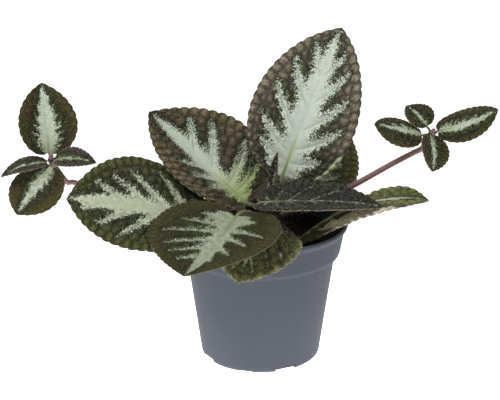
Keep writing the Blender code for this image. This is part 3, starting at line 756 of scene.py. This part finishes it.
def blade_sheet(leaf):
    """A grid whose lines run from the midrib out to the edge along the veins, laid into the bent blade."""
    shape = bmesh.new()
    layers = {name: shape.verts.layers.float.new(name) for name in SKIN_LAYERS}
    flat_layer = shape.verts.layers.float_vector.new("flat")
    bmesh.ops.create_grid(shape, x_segments=2 * leaf.rows, y_segments=leaf.stations, size=1)
    for vertex in shape.verts:
        side = -1 if vertex.co.x < 0 else 1
        out, share = abs(vertex.co.x), (vertex.co.y + 1) / 2
        across, along = vein_place(leaf, half_outline(leaf, share), share, out)
        across, along = scalloped(leaf, share, out, side * across, along)
        phase = vein_phase(leaf, side, share)
        groove = 2 * abs(math.sin(math.pi * phase)) ** 0.8 - 1
        raised = leaf.pleat * groove * math.sin(math.pi * min(out, 0.92)) * math.sin(math.pi * share)
        top = cell_top(leaf, side, share, out, across, along)
        silver = silver_depth(leaf, side, out, across, along)
        quilt = leaf.crease * ease(out, 0.05, 0.5) * ease(share, 0, 0.12) * (1 - 0.7 * ease(silver, -1, 3))
        rib = math.exp(-((across / leaf.rib) ** 2))
        raised += quilt * (top - CELL_BASE) - MIDRIB_SUNK * leaf.pleat * rib
        # On one side of the midrib a rolled edge is painted, while the blade stays unbent. Up to a half is
        # painted shade behind it, and from there on a pale rim, painted as its lit underside
        first, last, start = leaf.rolled
        held = ease(share, first - 0.12, first + 0.05) * (1 - ease(share, last * 0.7, last + 0.001))
        shade_then_rim = ease(out, 0.5 * start, 0.8 * start) + ease(out, start, start + 0.08)
        cell = 1 - (1 - top) * ease(out, 0.05, 0.5)
        reach = along / leaf.length
        ribbed = rib * (1 - ease(reach, 0.75, 0.95))
        painted_roll = held * 0.5 * shade_then_rim if side > 0 else 0.0
        for name, value in zip(SKIN_LAYERS, (silver, cell, ribbed, reach, out, phase, painted_roll)):
            vertex[layers[name]] = value
        vertex[flat_layer] = Vector((across, along, leaf.number * PATTERN_STEP))
        vertex.co = blade_point(leaf, across, along, raised)
    bmesh.ops.remove_doubles(shape, verts=shape.verts, dist=0.00002)
    return shape


def bezier(start, first, second, end, steps):
    """Points on a cubic curve between two ends with two handles."""
    points = []
    for i in range(steps + 1):
        t = i / steps
        low = 1 - t
        near = start * low ** 3 + first * (3 * low * low * t)
        points.append(near + second * (3 * low * t * t) + end * t ** 3)
    return points


def add_stalk(shape, leaf, hold):
    """A round stalk from its seat, bending into the underside of the midrib."""
    reach = STALK_REACH * leaf.length
    under = -0.9 * LEAF_THICKNESS
    inside = [blade_point(leaf, 0, reach * part, under) for part in (0.35, 0.7, 1.0)]
    out = (hold.way + 0.5 * leaf.normal).normalized()
    stalk_end = blade_point(leaf, 0, 0, under)
    arrive = (inside[0] - stalk_end).normalized()
    long = (leaf.base - hold.start).length
    bend = hold.start + out * long * 0.35
    path = bezier(hold.start, bend, stalk_end - arrive * long * 0.3, stalk_end, STALK_STEPS)
    radii = [leaf.stalk * (1 - 0.2 * i / STALK_STEPS) for i in range(STALK_STEPS + 1)]
    radii += [leaf.stalk * part for part in (0.72, 0.6, 0.3)]
    add_tube(shape, path + inside, radii, STALK_SIDES, hold.way, STALK_SKIN)


def even_fingers(end, width, count=7):
    """Fingers of silver at even steps round the edge, shorter towards the leaf's foot."""
    shares = [0.2 + 0.7 * i / (count - 1) for i in range(count)]
    return tuple((share, end * (0.75 + 0.25 * ease(share, 0.2, 0.5)), width) for share in shares)


def even_pair(*finger):
    """The same even fingers on both sides of the midrib."""
    return even_fingers(*finger), even_fingers(*finger)


def grow_leaf(node, skin, hold, base, tip, face, width, seed, fingers, edge=None, **shape):
    """A whole leaf: blade of two skins and a rim, stalk, and hairs on all of them."""
    leaf = SimpleNamespace(**BIG)
    vars(leaf).update(shape)
    leaf.base = Vector(base)
    leaf.forward = (Vector(tip) - leaf.base).normalized()
    leaf.length = (Vector(tip) - leaf.base).length
    leaf.width = width
    leaf.normal = (Vector(face) - leaf.forward * Vector(face).dot(leaf.forward)).normalized()
    leaf.side = leaf.forward.cross(leaf.normal)
    leaf.number = seed
    leaf.fingers = dict(zip((-1, 1), fingers))
    leaf.marks = {side: sorted([0, 1, *[vein[0] for vein in leaf.fingers[side]]]) for side in (-1, 1)}
    draw = random.Random(seed)
    measure_outline(leaf)
    lay_cells(leaf, draw)
    leaf.finger_ends = {
        side: [half_outline(leaf, vein[0]) for vein in leaf.fingers[side]] for side in (-1, 1)
    }
    # Solidify numbers the faces of the underside and the rim only up to the last slot that is there
    blade = new_object(node + "_sheet", blade_sheet(leaf), [HAIR] * (RIM + 1))
    thick = blade.modifiers.new("thick", "SOLIDIFY")
    thick.thickness = LEAF_THICKNESS
    thick.offset = 0
    thick.material_offset = UNDER
    thick.material_offset_rim = RIM
    grown = bmesh.new()
    grown.from_mesh(evaluated_mesh(blade))
    bpy.data.objects.remove(blade)
    add_stalk(grown, leaf, hold)
    # The underside has a quarter of the upper skin's hairs and the stalk a fifth
    top_count, edge_count = leaf.hairs
    spots = skin_spots(grown, top_count, draw, UPPER) + skin_spots(grown, edge_count, draw, RIM)
    spots += skin_spots(grown, top_count // 4, draw, UNDER)
    spots += skin_spots(grown, top_count // 5, draw, STALK_SKIN)
    add_hairs(grown, spots, LEAF_HAIR, draw, LEAF_HAIRS)
    piece = new_object(node + "_grown", grown, [skin, UNDERSIDE, edge or EDGE, STALK, HAIR])
    place_piece(piece, node)


def on_crown(angle, height):
    """Where a stalk leaves the crown, at an angle in degrees from +X and a height."""
    middle, radius = crown_point(height)
    way = Vector((math.cos(math.radians(angle)), math.sin(math.radians(angle)), 0))
    return SimpleNamespace(start=middle + way * (radius + CLEARANCE), way=way)


# Leaf stalks: dark red-brown near the crown, partly their own colour and partly painted shade under the
# leaves, turning pale green towards the blade
STALK = hairy_stem("stalk_skin", "#3f2e28", "#8a9660", (0.3, 0.9))
UNDERSIDE = leaf_underside("downy_underside", "#7f7c66", "#a3a187")
EDGE = leaf_underside("leaf_rim", "#4f4a38", "#7d7462")
MINT_SILVER = leaf_skin(
    "mint_silver_skin", "#d0d9cb", "#857969", "#777059", "#a3b065",
    bay="#313d15", glow=0.12, speckle=14.0, crevice=0.3, frost=1.0,
)
grow_leaf(
    "leaf_top", MINT_SILVER,
    on_crown(40, 0.1090), base=(0.015, 0.013, 0.1245), tip=(0.056, 0.045, 0.2205),
    face=(-0.18, -0.91, 0.38), width=0.076, arch=0.04, curl=-0.02, fold=(0.19, 0.17),
    lobe=0.16, skew=0.17, twist=8, point=6.6, seed=1, teeth=21, band=(9.0, 0.36, 0.97),
    rolled=(-1.0, 0.42, 0.85),
    fingers=(
        (
            (0.20, 0.55, 6.5), (0.33, 0.66, 6), (0.45, 0.74, 5.6),
            (0.625, 0.80, 5.4), (0.76, 0.82, 5), (0.875, 0.80, 4),
        ),
        (
            (0.14, 0.50, 7), (0.32, 0.60, 6.5), (0.50, 0.76, 5.6),
            (0.65, 0.80, 5.4), (0.78, 0.83, 5), (0.875, 0.79, 4),
        ),
    ),
)

# Upper left leaf: the showiest one, folded into a shallow trough, silver from its midrib far out along
# the veins. It leans left over the pot's rim on a stalk that its own blade hides.
MAIN_SILVER = leaf_skin(
    "silver_skin", "#ccd5be", "#73634a", "#5a5433", "#93a14a",
    glow=0.75, speckle=12.0, down=0.7, crevice=0.35,
)
grow_leaf(
    "leaf_upper_left", MAIN_SILVER,
    on_crown(172, 0.1040), base=(-0.0115, 0.004, 0.110), tip=(-0.076, 0.030, 0.1665),
    face=(0.50, -0.40, 0.76), width=0.081, arch=-0.02, curl=0.02, fold=(0.42, 0.42),
    lobe=0.50, skew=0.27, twist=21, sway=0.01, point=5.3, seed=2, teeth=20, band=(6.4, 0.45, 0.95),
    fingers=(
        (
            (0.20, 0.30, 3.5), (0.35, 0.35, 3.6), (0.49, 0.50, 3.4),
            (0.60, 0.62, 3.2), (0.71, 0.62, 3), (0.88, 0.35, 2.6),
        ),
        ((0.18, 0.35, 4), (0.33, 0.75, 3.4), (0.48, 0.80, 3.6), (0.69, 0.83, 4.2), (0.81, 0.78, 3.6)),
    ),
)

# Left leaf: broad and flat, its silver greener, its margin olive with strong columns of cells. Its stalk
# leaves the crown just over the peat and carries it out past the pot's rim.
GREEN_SILVER = leaf_skin(
    "green_silver_skin", "#b9c29e", "#454219", "#454b18", "#96a25e",
    bay="#2b3014", glow=0.4, green=0.6, mottle=0.5,
)
grow_leaf(
    "leaf_left", GREEN_SILVER,
    on_crown(196, 0.0915), base=(-0.036, -0.026, 0.1055), tip=(-0.127, -0.046, 0.129),
    face=(0.30, -0.30, 0.90), width=0.078, arch=0.04, fold=(0.05, 0.16),
    lobe=0.39, skew=-0.02, twist=21, point=5.9, seed=3, teeth=22, band=(6.5, 0.6, 0.98),
    fingers=(
        (
            (0.20, 0.40, 3.6), (0.33, 0.45, 3.6), (0.46, 0.50, 3.6), (0.58, 0.60, 3.6),
            (0.69, 0.83, 3.8), (0.81, 0.83, 3.8), (0.92, 0.75, 3.4),
        ),
        ((0.27, 0.62, 3.8), (0.47, 0.78, 3.8), (0.65, 0.77, 3.6), (0.75, 0.75, 3.4), (0.84, 0.80, 3.2)),
    ),
)

# Front left leaf: an older blade that hangs over the rim, smoother, with silver close to the midrib and
# thin pale veins beyond it. Its rim is as dark as its skin and nearly bare.
SMOOTH_OLIVE = leaf_skin(
    "smooth_olive_skin", "#939c80", "#423d1d", "#3b3a1b", "#7b8365",
    bay="#2c2c17", speckle=5.0, green=0.3, crevice=0.85, down=0.15, gloss=0.2, frost=0.6,
    mottle=0.4, inside=0.75,
)
DARK_EDGE = leaf_underside("dark_leaf_rim", "#3c3722", "#565038")
grow_leaf(
    "leaf_front_left", SMOOTH_OLIVE,
    on_crown(232, 0.0975), base=(-0.017, -0.0435, 0.1145), tip=(-0.0485, -0.1065, 0.096),
    face=(-0.05, -0.26, 0.97), width=0.089, arch=-0.04, curl=-0.04, fold=(0.34, 0.24),
    lobe=0.60, skew=0.06, twist=-5, point=5.5, seed=4, teeth=30, band=(5.5, 0.35, 0.97),
    hairs=(300, 60), crease=0.0002, edge=DARK_EDGE,
    fingers=(
        (
            (0.18, 0.45, 5), (0.33, 0.50, 3.6), (0.50, 0.72, 1.8),
            (0.62, 0.63, 1.8), (0.74, 0.57, 1.8), (0.84, 0.40, 1.6),
        ),
        (
            (0.18, 0.50, 5.5), (0.33, 0.55, 4), (0.45, 0.70, 1.8), (0.56, 0.83, 1.6),
            (0.67, 0.83, 1.6), (0.75, 0.78, 1.6), (0.83, 0.72, 1.5),
        ),
    ),
)

# Front leaf: a plain olive blade with a net of fine pale veins, which droops towards the viewer. It is one
# of the oldest, from the lowest joint of the crown, and its silver is down to the veins.
# Its dark and olive colours are painted lighter than the leaf's own, as painted light against the shade that
# the front left leaf casts on it
VEINED = leaf_skin(
    "veined_olive_skin", "#cdd5a8", "#7a7250", "#6d6f42", "#c8d19a",
    glow=0.2, speckle=2.2, green=0.2, crevice=1.4, inside=0.8,
)
grow_leaf(
    "leaf_front", VEINED,
    on_crown(285, 0.0915), base=(0.013, -0.028, 0.101), tip=(-0.015, -0.089, 0.0895),
    face=(0.19, -0.27, 0.94), width=0.054, arch=0.14, curl=0.03, fold=(-0.01, -0.17),
    lobe=0.27, skew=-0.11, twist=-8, sway=0.02, point=6.7, seed=5, teeth=16, band=(0.8, 0.3, 0.9),
    fingers=even_pair(0.9, 0.5), cells=5,
)

# Right and far right leaves: two level blades, one above the other. The upper one is dark grey-olive with a
# thin silver midrib. The lower one folds down along its midrib. Its near edge is not turned, but carries a
# pale rim painted as a turned-out lit underside, with painted shade behind it.
GREY_OLIVE = leaf_skin(
    "grey_olive_skin", "#72785f", "#303126", "#2c3020", "#5c664a",
    bay="#23261a", speckle=4.0, green=0.1, down=0.3,
)
grow_leaf(
    "leaf_right", GREY_OLIVE,
    on_crown(265, 0.1040), base=(0.0015, -0.029, 0.1200), tip=(0.0810, -0.036, 0.1215),
    face=(0.0, 0.01, 1.0), width=0.062, arch=0.02, curl=0.02, fold=(0.17, 0.17),
    lobe=0.55, skew=0.23, twist=-1, point=4.7, seed=6, band=(0.2, 0.3, 0.95),
    fingers=(even_fingers(0.8, 0.1, 5), even_fingers(0.6, 0.1, 5)), merge=0.3,
)
FAR_OLIVE = leaf_skin(
    "far_olive_skin", "#c2cb98", "#7f8350", "#737a3c", "#aebb7a",
    speckle=5.0, green=0.3, inside=0.8, rolled="#d6d0b8",
)
grow_leaf(
    "leaf_far_right", FAR_OLIVE,
    on_crown(325, 0.0930), base=(0.028, -0.022, 0.0932), tip=(0.1134, -0.015, 0.114),
    face=(-0.24, 0.16, 0.99), width=0.053, arch=0.12, curl=-0.04, fold=(-0.47, -0.30),
    lobe=0.39, skew=-0.30, twist=-7, point=14, open=1.6, seed=7, band=(2.2, 0.6, 0.97),
    rolled=(0.3, 0.85, 0.3), fingers=even_pair(0.3, 0.5, 5),
)

# Back leaves: the four blades on the plant's far side, olive, with less silver and strong quilting.
# The photograph shows one in part and hides three, which close the crown as on such a plant.
OLIVE = leaf_skin("olive_skin", "#aeb68e", "#5d5a30", "#565a24", "#98a56a", bay="#3a3d1c", green=0.5)
BACK = dict(stations=140, rows=26, fingers=even_pair(0.7, 3.4))
HIDDEN = dict(BACK, width=0.046, arch=0.05, curl=0.03, fold=(0.15, 0.15), lobe=0.38, skew=0.2, point=5.0)
grow_leaf(
    "leaf_back_right", OLIVE,
    on_crown(34, 0.1030), base=(0.0205, 0.024, 0.1105), tip=(0.056, 0.082, 0.1375),
    face=(0.32, -0.55, 0.77), width=0.069, arch=0.04, curl=-0.11, fold=(0.15, 0.18),
    lobe=0.39, skew=0.18, twist=3, point=5.8, seed=8, teeth=22, **BACK,
)
grow_leaf(
    "leaf_back", GREEN_SILVER,
    on_crown(88, 0.1000), base=(0.005, 0.030, 0.104), tip=(0.021, 0.100, 0.108),
    face=(0.04, -0.06, 1.0), seed=9, **HIDDEN,
)
grow_leaf(
    "leaf_back_left", GREEN_SILVER,
    on_crown(128, 0.1045), base=(-0.016, 0.028, 0.109), tip=(-0.064, 0.074, 0.110),
    face=(-0.12, -0.11, 0.98), seed=10, **HIDDEN,
)
grow_leaf(
    "leaf_low_back", OLIVE,
    on_crown(55, 0.0920), base=(0.018, 0.021, 0.097), tip=(0.052, 0.068, 0.100),
    face=(0.10, -0.03, 0.99), seed=11, **dict(HIDDEN, width=0.042, arch=0.06),
)

# Young leaf: still folded along its midrib into a spear, dark purple-brown, with a pale hairy edge.
# It stands on the crown's top, where the plant makes its new leaves.
CROWN_TOP = Vector((CROWN_PLACE.x, CROWN_PLACE.y, CROWN_HIGH))
SMALL = dict(
    stations=84, rows=18, teeth=12, cells=5, stalk=0.0009, scallop=0.0007, pleat=0.0005,
    crease=0.0003, rib=0.0006, hairs=(200, 260), merge=0.5,
)
YOUNG = leaf_skin("young_purple_skin", "#8c7c70", "#3d2c29", "#352b24", "#7a6050", green=0.0)
grow_leaf(
    "leaf_young", YOUNG,
    SimpleNamespace(start=CROWN_TOP + Vector((0, 0, CLEARANCE)), way=Vector((0, 0, 1))),
    base=(0.009, 0.002, 0.1185), tip=(0.0115, 0.003, 0.1450), face=(-0.5, -0.8, 0.2), width=0.0065,
    arch=0.02, fold=(0.9, 0.9), lobe=0.10, skew=0.15, point=5.0, seed=12, band=(0.1, 0.3, 0.5),
    fingers=even_pair(0.1, 0.1, 4), **SMALL,
)

# Runners: two long pinkish stems, round and hairy, from leaf joints of the crown. Each ends in the knob of
# a young plant and feeds it until it roots.
RUNNER_RADIUS = 0.0021
RUNNER_TIP_RADIUS = 0.0017
RUNNER_STEPS = 10
RUNNER_SIDES = 16
RUNNER_HAIRS = 1500
RUNNER_HAIR = 0.0011
PLANTLET_RADIUS = 0.0022
LEFT_PLANTLET = Vector((-0.1420, -0.0005, 0.1405))
RIGHT_PLANTLET = Vector((0.1140, 0.0005, 0.1575))
LEFT_ROUTE = (
    (-0.025, 0.010, 0.1020),
    (-0.058, 0.016, 0.1025),
    (-0.090, 0.014, 0.1080),
    (-0.112, 0.008, 0.1165),
    (-0.1274, 0.004, 0.1228),
    (-0.1325, 0.001, 0.1249),
)
RIGHT_ROUTE = (
    (0.0423, 0.011, 0.1069),
    (0.0641, 0.010, 0.1189),
    (0.0868, 0.007, 0.1336),
    (0.1024, 0.002, 0.1442),
    (0.1089, 0.0005, 0.1486),
)


def spline(points, steps):
    """A smooth curve through points, as a list of points on it."""
    found = []
    for i in range(len(points) - 1):
        before = points[max(i - 1, 0)]
        after = points[min(i + 2, len(points) - 1)]
        here, there = points[i], points[i + 1]
        first, second = here + (there - before) / 6, there - (after - here) / 6
        found += bezier(here, first, second, there, steps)[:-1]
    return found + [points[-1]]


def run_stolon(node, hold, route, centre, seed):
    """A runner along its route, thinning towards the knob at its end, under hairs."""
    path = spline([hold.start, *[Vector(point) for point in route], centre], RUNNER_STEPS)
    thinning = (RUNNER_TIP_RADIUS - RUNNER_RADIUS) / len(path)
    radii = [RUNNER_RADIUS + thinning * i for i in range(len(path))]
    shape = bmesh.new()
    add_tube(shape, path, radii, RUNNER_SIDES, hold.way)
    knob = bmesh.new()
    there = Matrix.Translation(centre)
    bmesh.ops.create_icosphere(knob, subdivisions=3, radius=PLANTLET_RADIUS, matrix=there)
    join_batch(shape, knob)
    draw = random.Random(seed)
    spots = skin_spots(shape, RUNNER_HAIRS, draw, STEM_SKIN)
    add_hairs(shape, spots, RUNNER_HAIR, draw, STEM_HAIR)
    piece = new_object(node + "_skin", shape, [PINK_STEM, HAIR])
    place_piece(piece, node)


# The runners' first two fifths from the crown are painted dark brown instead of pink, as painted shade where
# they pass under the leaves
PINK_STEM = hairy_stem("runner_skin", "#33241f", "#8f6a68", (0.15, 0.42))
run_stolon("stolon_left", on_crown(160, 0.0975), LEFT_ROUTE, LEFT_PLANTLET, 21)
run_stolon("stolon_right", on_crown(12, 0.0975), RIGHT_ROUTE, RIGHT_PLANTLET, 22)

# Plantlets: four small leaves and a bud on each runner's knob, first copies of the mother's leaves.
# Their skins are thinner and less quilted. The hanging leaf's silver is painted darker, as painted shade,
# and two are dark all over.
PLANTLET = dict(speckle=6.0, crevice=0.75, gloss=0.2)
PLANTLET_GREEN = leaf_skin(
    "young_green_silver_skin", "#b7c1a4", "#423820", "#3d3c10", "#8f9c6a", **PLANTLET
)
PLANTLET_SHADE = leaf_skin(
    "shaded_green_silver_skin", "#99a47f", "#453921", "#434012", "#8f9c6a", **PLANTLET
)
PLANTLET_DARK = leaf_skin(
    "young_dark_skin", "#84935f", "#54463f", "#463e35", "#84935f", speckle=3.0, crevice=0.7
)


def on_plantlet(centre, way):
    """Where a stalk leaves a plantlet's knob."""
    way = Vector(way).normalized()
    return SimpleNamespace(start=centre + way * (PLANTLET_RADIUS + CLEARANCE), way=way)


def grow_small_leaf(node, skin, centre, way, **shape):
    """A plantlet's leaf, whose stalk leaves the knob in a given way."""
    grow_leaf(node, skin, on_plantlet(centre, way), **shape, **SMALL)


grow_small_leaf(
    "left_plantlet_leaf_up", PLANTLET_GREEN, LEFT_PLANTLET, (-0.2, 0.5, 0.85),
    base=(-0.1435, 0.002, 0.145), tip=(-0.1485, 0.020, 0.189),
    face=(0.36, -0.85, 0.39), width=0.041, arch=0.05, curl=0.03, fold=(0.27, 0.23),
    lobe=0.29, skew=0.15, twist=6, point=5.4, seed=31,
    band=(5.8, 0.2, 0.96), fingers=even_pair(0.5, 0.8, 8),
)
grow_small_leaf(
    "left_plantlet_leaf_right", PLANTLET_DARK, LEFT_PLANTLET, (1.0, 0.0, 0.4),
    base=(-0.1380, -0.0022, 0.1410), tip=(-0.111, -0.006, 0.141),
    face=(-0.11, -0.47, 0.88), width=0.017, arch=0.08, curl=0.04, fold=(0.35, 0.18),
    lobe=0.35, skew=0.19, twist=-4, point=5.1, seed=32,
    band=(0.6, 0.3, 0.8), fingers=even_pair(0.2, 0.1, 4),
)
grow_small_leaf(
    "left_plantlet_leaf_left", PLANTLET_DARK, LEFT_PLANTLET, (-1.0, -0.3, -0.2),
    base=(-0.1460, -0.0022, 0.1390), tip=(-0.175, -0.010, 0.1325),
    face=(-0.12, -0.34, 0.93), width=0.016, arch=0.07, curl=0.03, fold=(0.21, 0.20),
    lobe=0.35, skew=0.20, twist=-1, point=5.0, seed=33,
    band=(0.6, 0.3, 0.8), fingers=even_pair(0.2, 0.1, 4),
)
grow_small_leaf(
    "left_plantlet_leaf_down", PLANTLET_SHADE, LEFT_PLANTLET, (-0.1, -0.9, -0.35),
    base=(-0.1412, -0.0062, 0.1368), tip=(-0.1625, -0.0250, 0.109),
    face=(-0.40, -0.57, 0.72), width=0.044, arch=0.04, curl=-0.06, fold=(-0.03, -0.14),
    lobe=0.32, skew=0.05, twist=10, point=5.8, seed=34,
    band=(3.8, 0.3, 0.93), fingers=(even_fingers(0.36, 0.8, 7), even_fingers(0.4, 0.8, 7)),
)
grow_small_leaf(
    "right_plantlet_leaf_right", PLANTLET_GREEN, RIGHT_PLANTLET, (1.0, 0.0, 0.4),
    base=(0.120, 0.000, 0.161), tip=(0.160, 0.006, 0.174),
    face=(0.14, -0.99, 0.03), width=0.023, arch=0.07, curl=0.01, fold=(0.31, 0.23),
    lobe=0.33, skew=0.10, sway=0.02, point=5.9, seed=35,
    band=(2.2, 0.3, 0.93), fingers=(even_fingers(0.5, 0.9, 7), even_fingers(0.2, 0.4, 7)),
)
grow_small_leaf(
    "right_plantlet_leaf_left", PLANTLET_GREEN, RIGHT_PLANTLET, (-1.0, -0.4, 0.2),
    base=(0.1070, -0.0020, 0.1590), tip=(0.0755, -0.004, 0.165),
    face=(0.18, -0.35, 0.92), width=0.030, arch=0.04, curl=-0.08, fold=(-0.18, -0.24),
    lobe=0.36, skew=0.13, twist=7, point=6.7, seed=36,
    band=(1.8, 0.3, 0.85), fingers=(even_fingers(0.2, 0.3, 6), even_fingers(0.5, 1.2, 6)),
)
grow_small_leaf(
    "right_plantlet_leaf_up", PLANTLET_GREEN, RIGHT_PLANTLET, (0.0, 0.7, 0.7),
    base=(0.1120, 0.0055, 0.1630), tip=(0.0992, 0.017, 0.174),
    face=(0.21, -0.59, 0.78), width=0.021, arch=0.05, curl=0.05, fold=(0.23, 0.27),
    lobe=0.32, skew=0.18, twist=2, point=5.3, seed=37,
    band=(0.8, 0.3, 0.85), fingers=even_pair(0.2, 0.2, 4),
)
grow_small_leaf(
    "right_plantlet_leaf_down", PLANTLET_GREEN, RIGHT_PLANTLET, (0.0, -1.0, 0.1),
    base=(0.114, -0.004, 0.1585), tip=(0.114, -0.017, 0.1375),
    face=(0.50, -0.75, 0.44), width=0.024, arch=0.07, curl=-0.04, fold=(0.21, 0.28),
    lobe=0.33, skew=0.02, twist=7, sway=-0.02, point=6.4, seed=38,
    band=(1.5, 0.4, 0.93), fingers=(even_fingers(0.25, 0.4, 5), even_fingers(0.2, 0.3, 5)),
)


BUD_RADII = (0.0008, 0.0011, 0.0014, 0.0015, 0.0015, 0.0014, 0.0013, 0.0011, 0.0009, 0.0006, 0.0003)
BUD_SIDES = 14
BUD_HAIRS = 160


def fold_bud(node, centre, way, length, seed):
    """Two unopened leaves pressed together, under long hairs."""
    hold = on_plantlet(centre, way)
    path = [hold.start + hold.way * length * i / 10 for i in range(11)]
    shape = bmesh.new()
    add_tube(shape, path, BUD_RADII, BUD_SIDES)
    draw = random.Random(seed)
    add_hairs(shape, skin_spots(shape, BUD_HAIRS, draw, STEM_SKIN), LEAF_HAIR, draw, STEM_HAIR)
    piece = new_object(node + "_skin", shape, [BUD_SKIN, HAIR])
    place_piece(piece, node)


BUD_SKIN = hairy_stem("bud_skin", "#7a5560", "#8d6a68")
fold_bud("left_plantlet_bud", LEFT_PLANTLET, (0.1, -0.6, 0.8), 0.005, 41)
fold_bud("right_plantlet_bud", RIGHT_PLANTLET, (0.45, -0.35, 0.85), 0.004, 42)

# Studio: a pale matt floor that glows as painted light, most round the pot, white air all round, and two
# large soft lights, as for a catalogue photograph.
# The camera looks along +Y and down by 19 degrees from 1.2 m away. A light has its place, size and watts.
FLOOR_SIZE = 8
WORLD_LIGHT = 0.32
VIEW_TARGET = Vector((-0.00729, 0, 0.11153))
VIEW_ELEVATION = math.radians(19.344)
VIEW_DISTANCE = 1.2024
LENS = 126.9
SENSOR = 36
LIGHTS = {
    "key": ((-0.8, -1.0, 1.9), 0.7, 24),
    "top": ((0.1, 0.2, 2.0), 1.6, 8),
}


def studio_floor():
    """White board that glows from below, most round the pot, so that hardly a shadow is left."""
    made, tree, shader = new_material(
        "pale_floor", Roughness=0.9, Specular_IOR_Level=0.1, Emission_Color=(1, 1, 1, 1)
    )
    place = add_node(tree, "ShaderNodeTexCoord", {}).outputs["Object"]
    cloud = noise_at(tree, place, 2, 2)
    tree.links.new(blended(tree, cloud, linear("#fbfbfb"), linear("#fdfdfd")), shader.inputs["Base Color"])
    away = add_node(tree, "ShaderNodeVectorMath", {0: place}, operation="LENGTH").outputs["Value"]
    ends = {0: away, 1: 0.04, 2: 0.24, 3: 2.3, 4: 0.6}
    glow = add_node(tree, "ShaderNodeMapRange", ends, interpolation_type="SMOOTHSTEP")
    tree.links.new(glow.outputs[0], shader.inputs["Emission Strength"])
    return made


ground = bmesh.new()
bmesh.ops.create_grid(ground, x_segments=4, y_segments=4, size=FLOOR_SIZE / 2)
new_object("studio_floor", ground, [studio_floor()])

for name, (place, size, power) in LIGHTS.items():
    light = bpy.data.lights.new(name, "AREA")
    light.size = size
    light.energy = power
    lamp = add_to_scene(name, light)
    lamp.location = place
    lamp.rotation_euler = (VIEW_TARGET - lamp.location).to_track_quat("-Z", "Y").to_euler()

world = bpy.data.worlds.new("studio")
world.use_nodes = True
world.node_tree.nodes["Background"].inputs["Color"].default_value = (1, 1, 1, 1)
world.node_tree.nodes["Background"].inputs["Strength"].default_value = WORLD_LIGHT
bpy.context.scene.world = world
bpy.context.scene.view_settings.view_transform = "Standard"

lens = bpy.data.cameras.new("camera")
lens.lens = LENS
lens.sensor_width = SENSOR
lens.clip_end = 20
camera = add_to_scene("camera", lens)
back = Vector((0, -math.cos(VIEW_ELEVATION), math.sin(VIEW_ELEVATION)))
camera.location = VIEW_TARGET + back * VIEW_DISTANCE
camera.rotation_euler = (math.pi / 2 - VIEW_ELEVATION, 0, 0)
bpy.context.scene.camera = camera
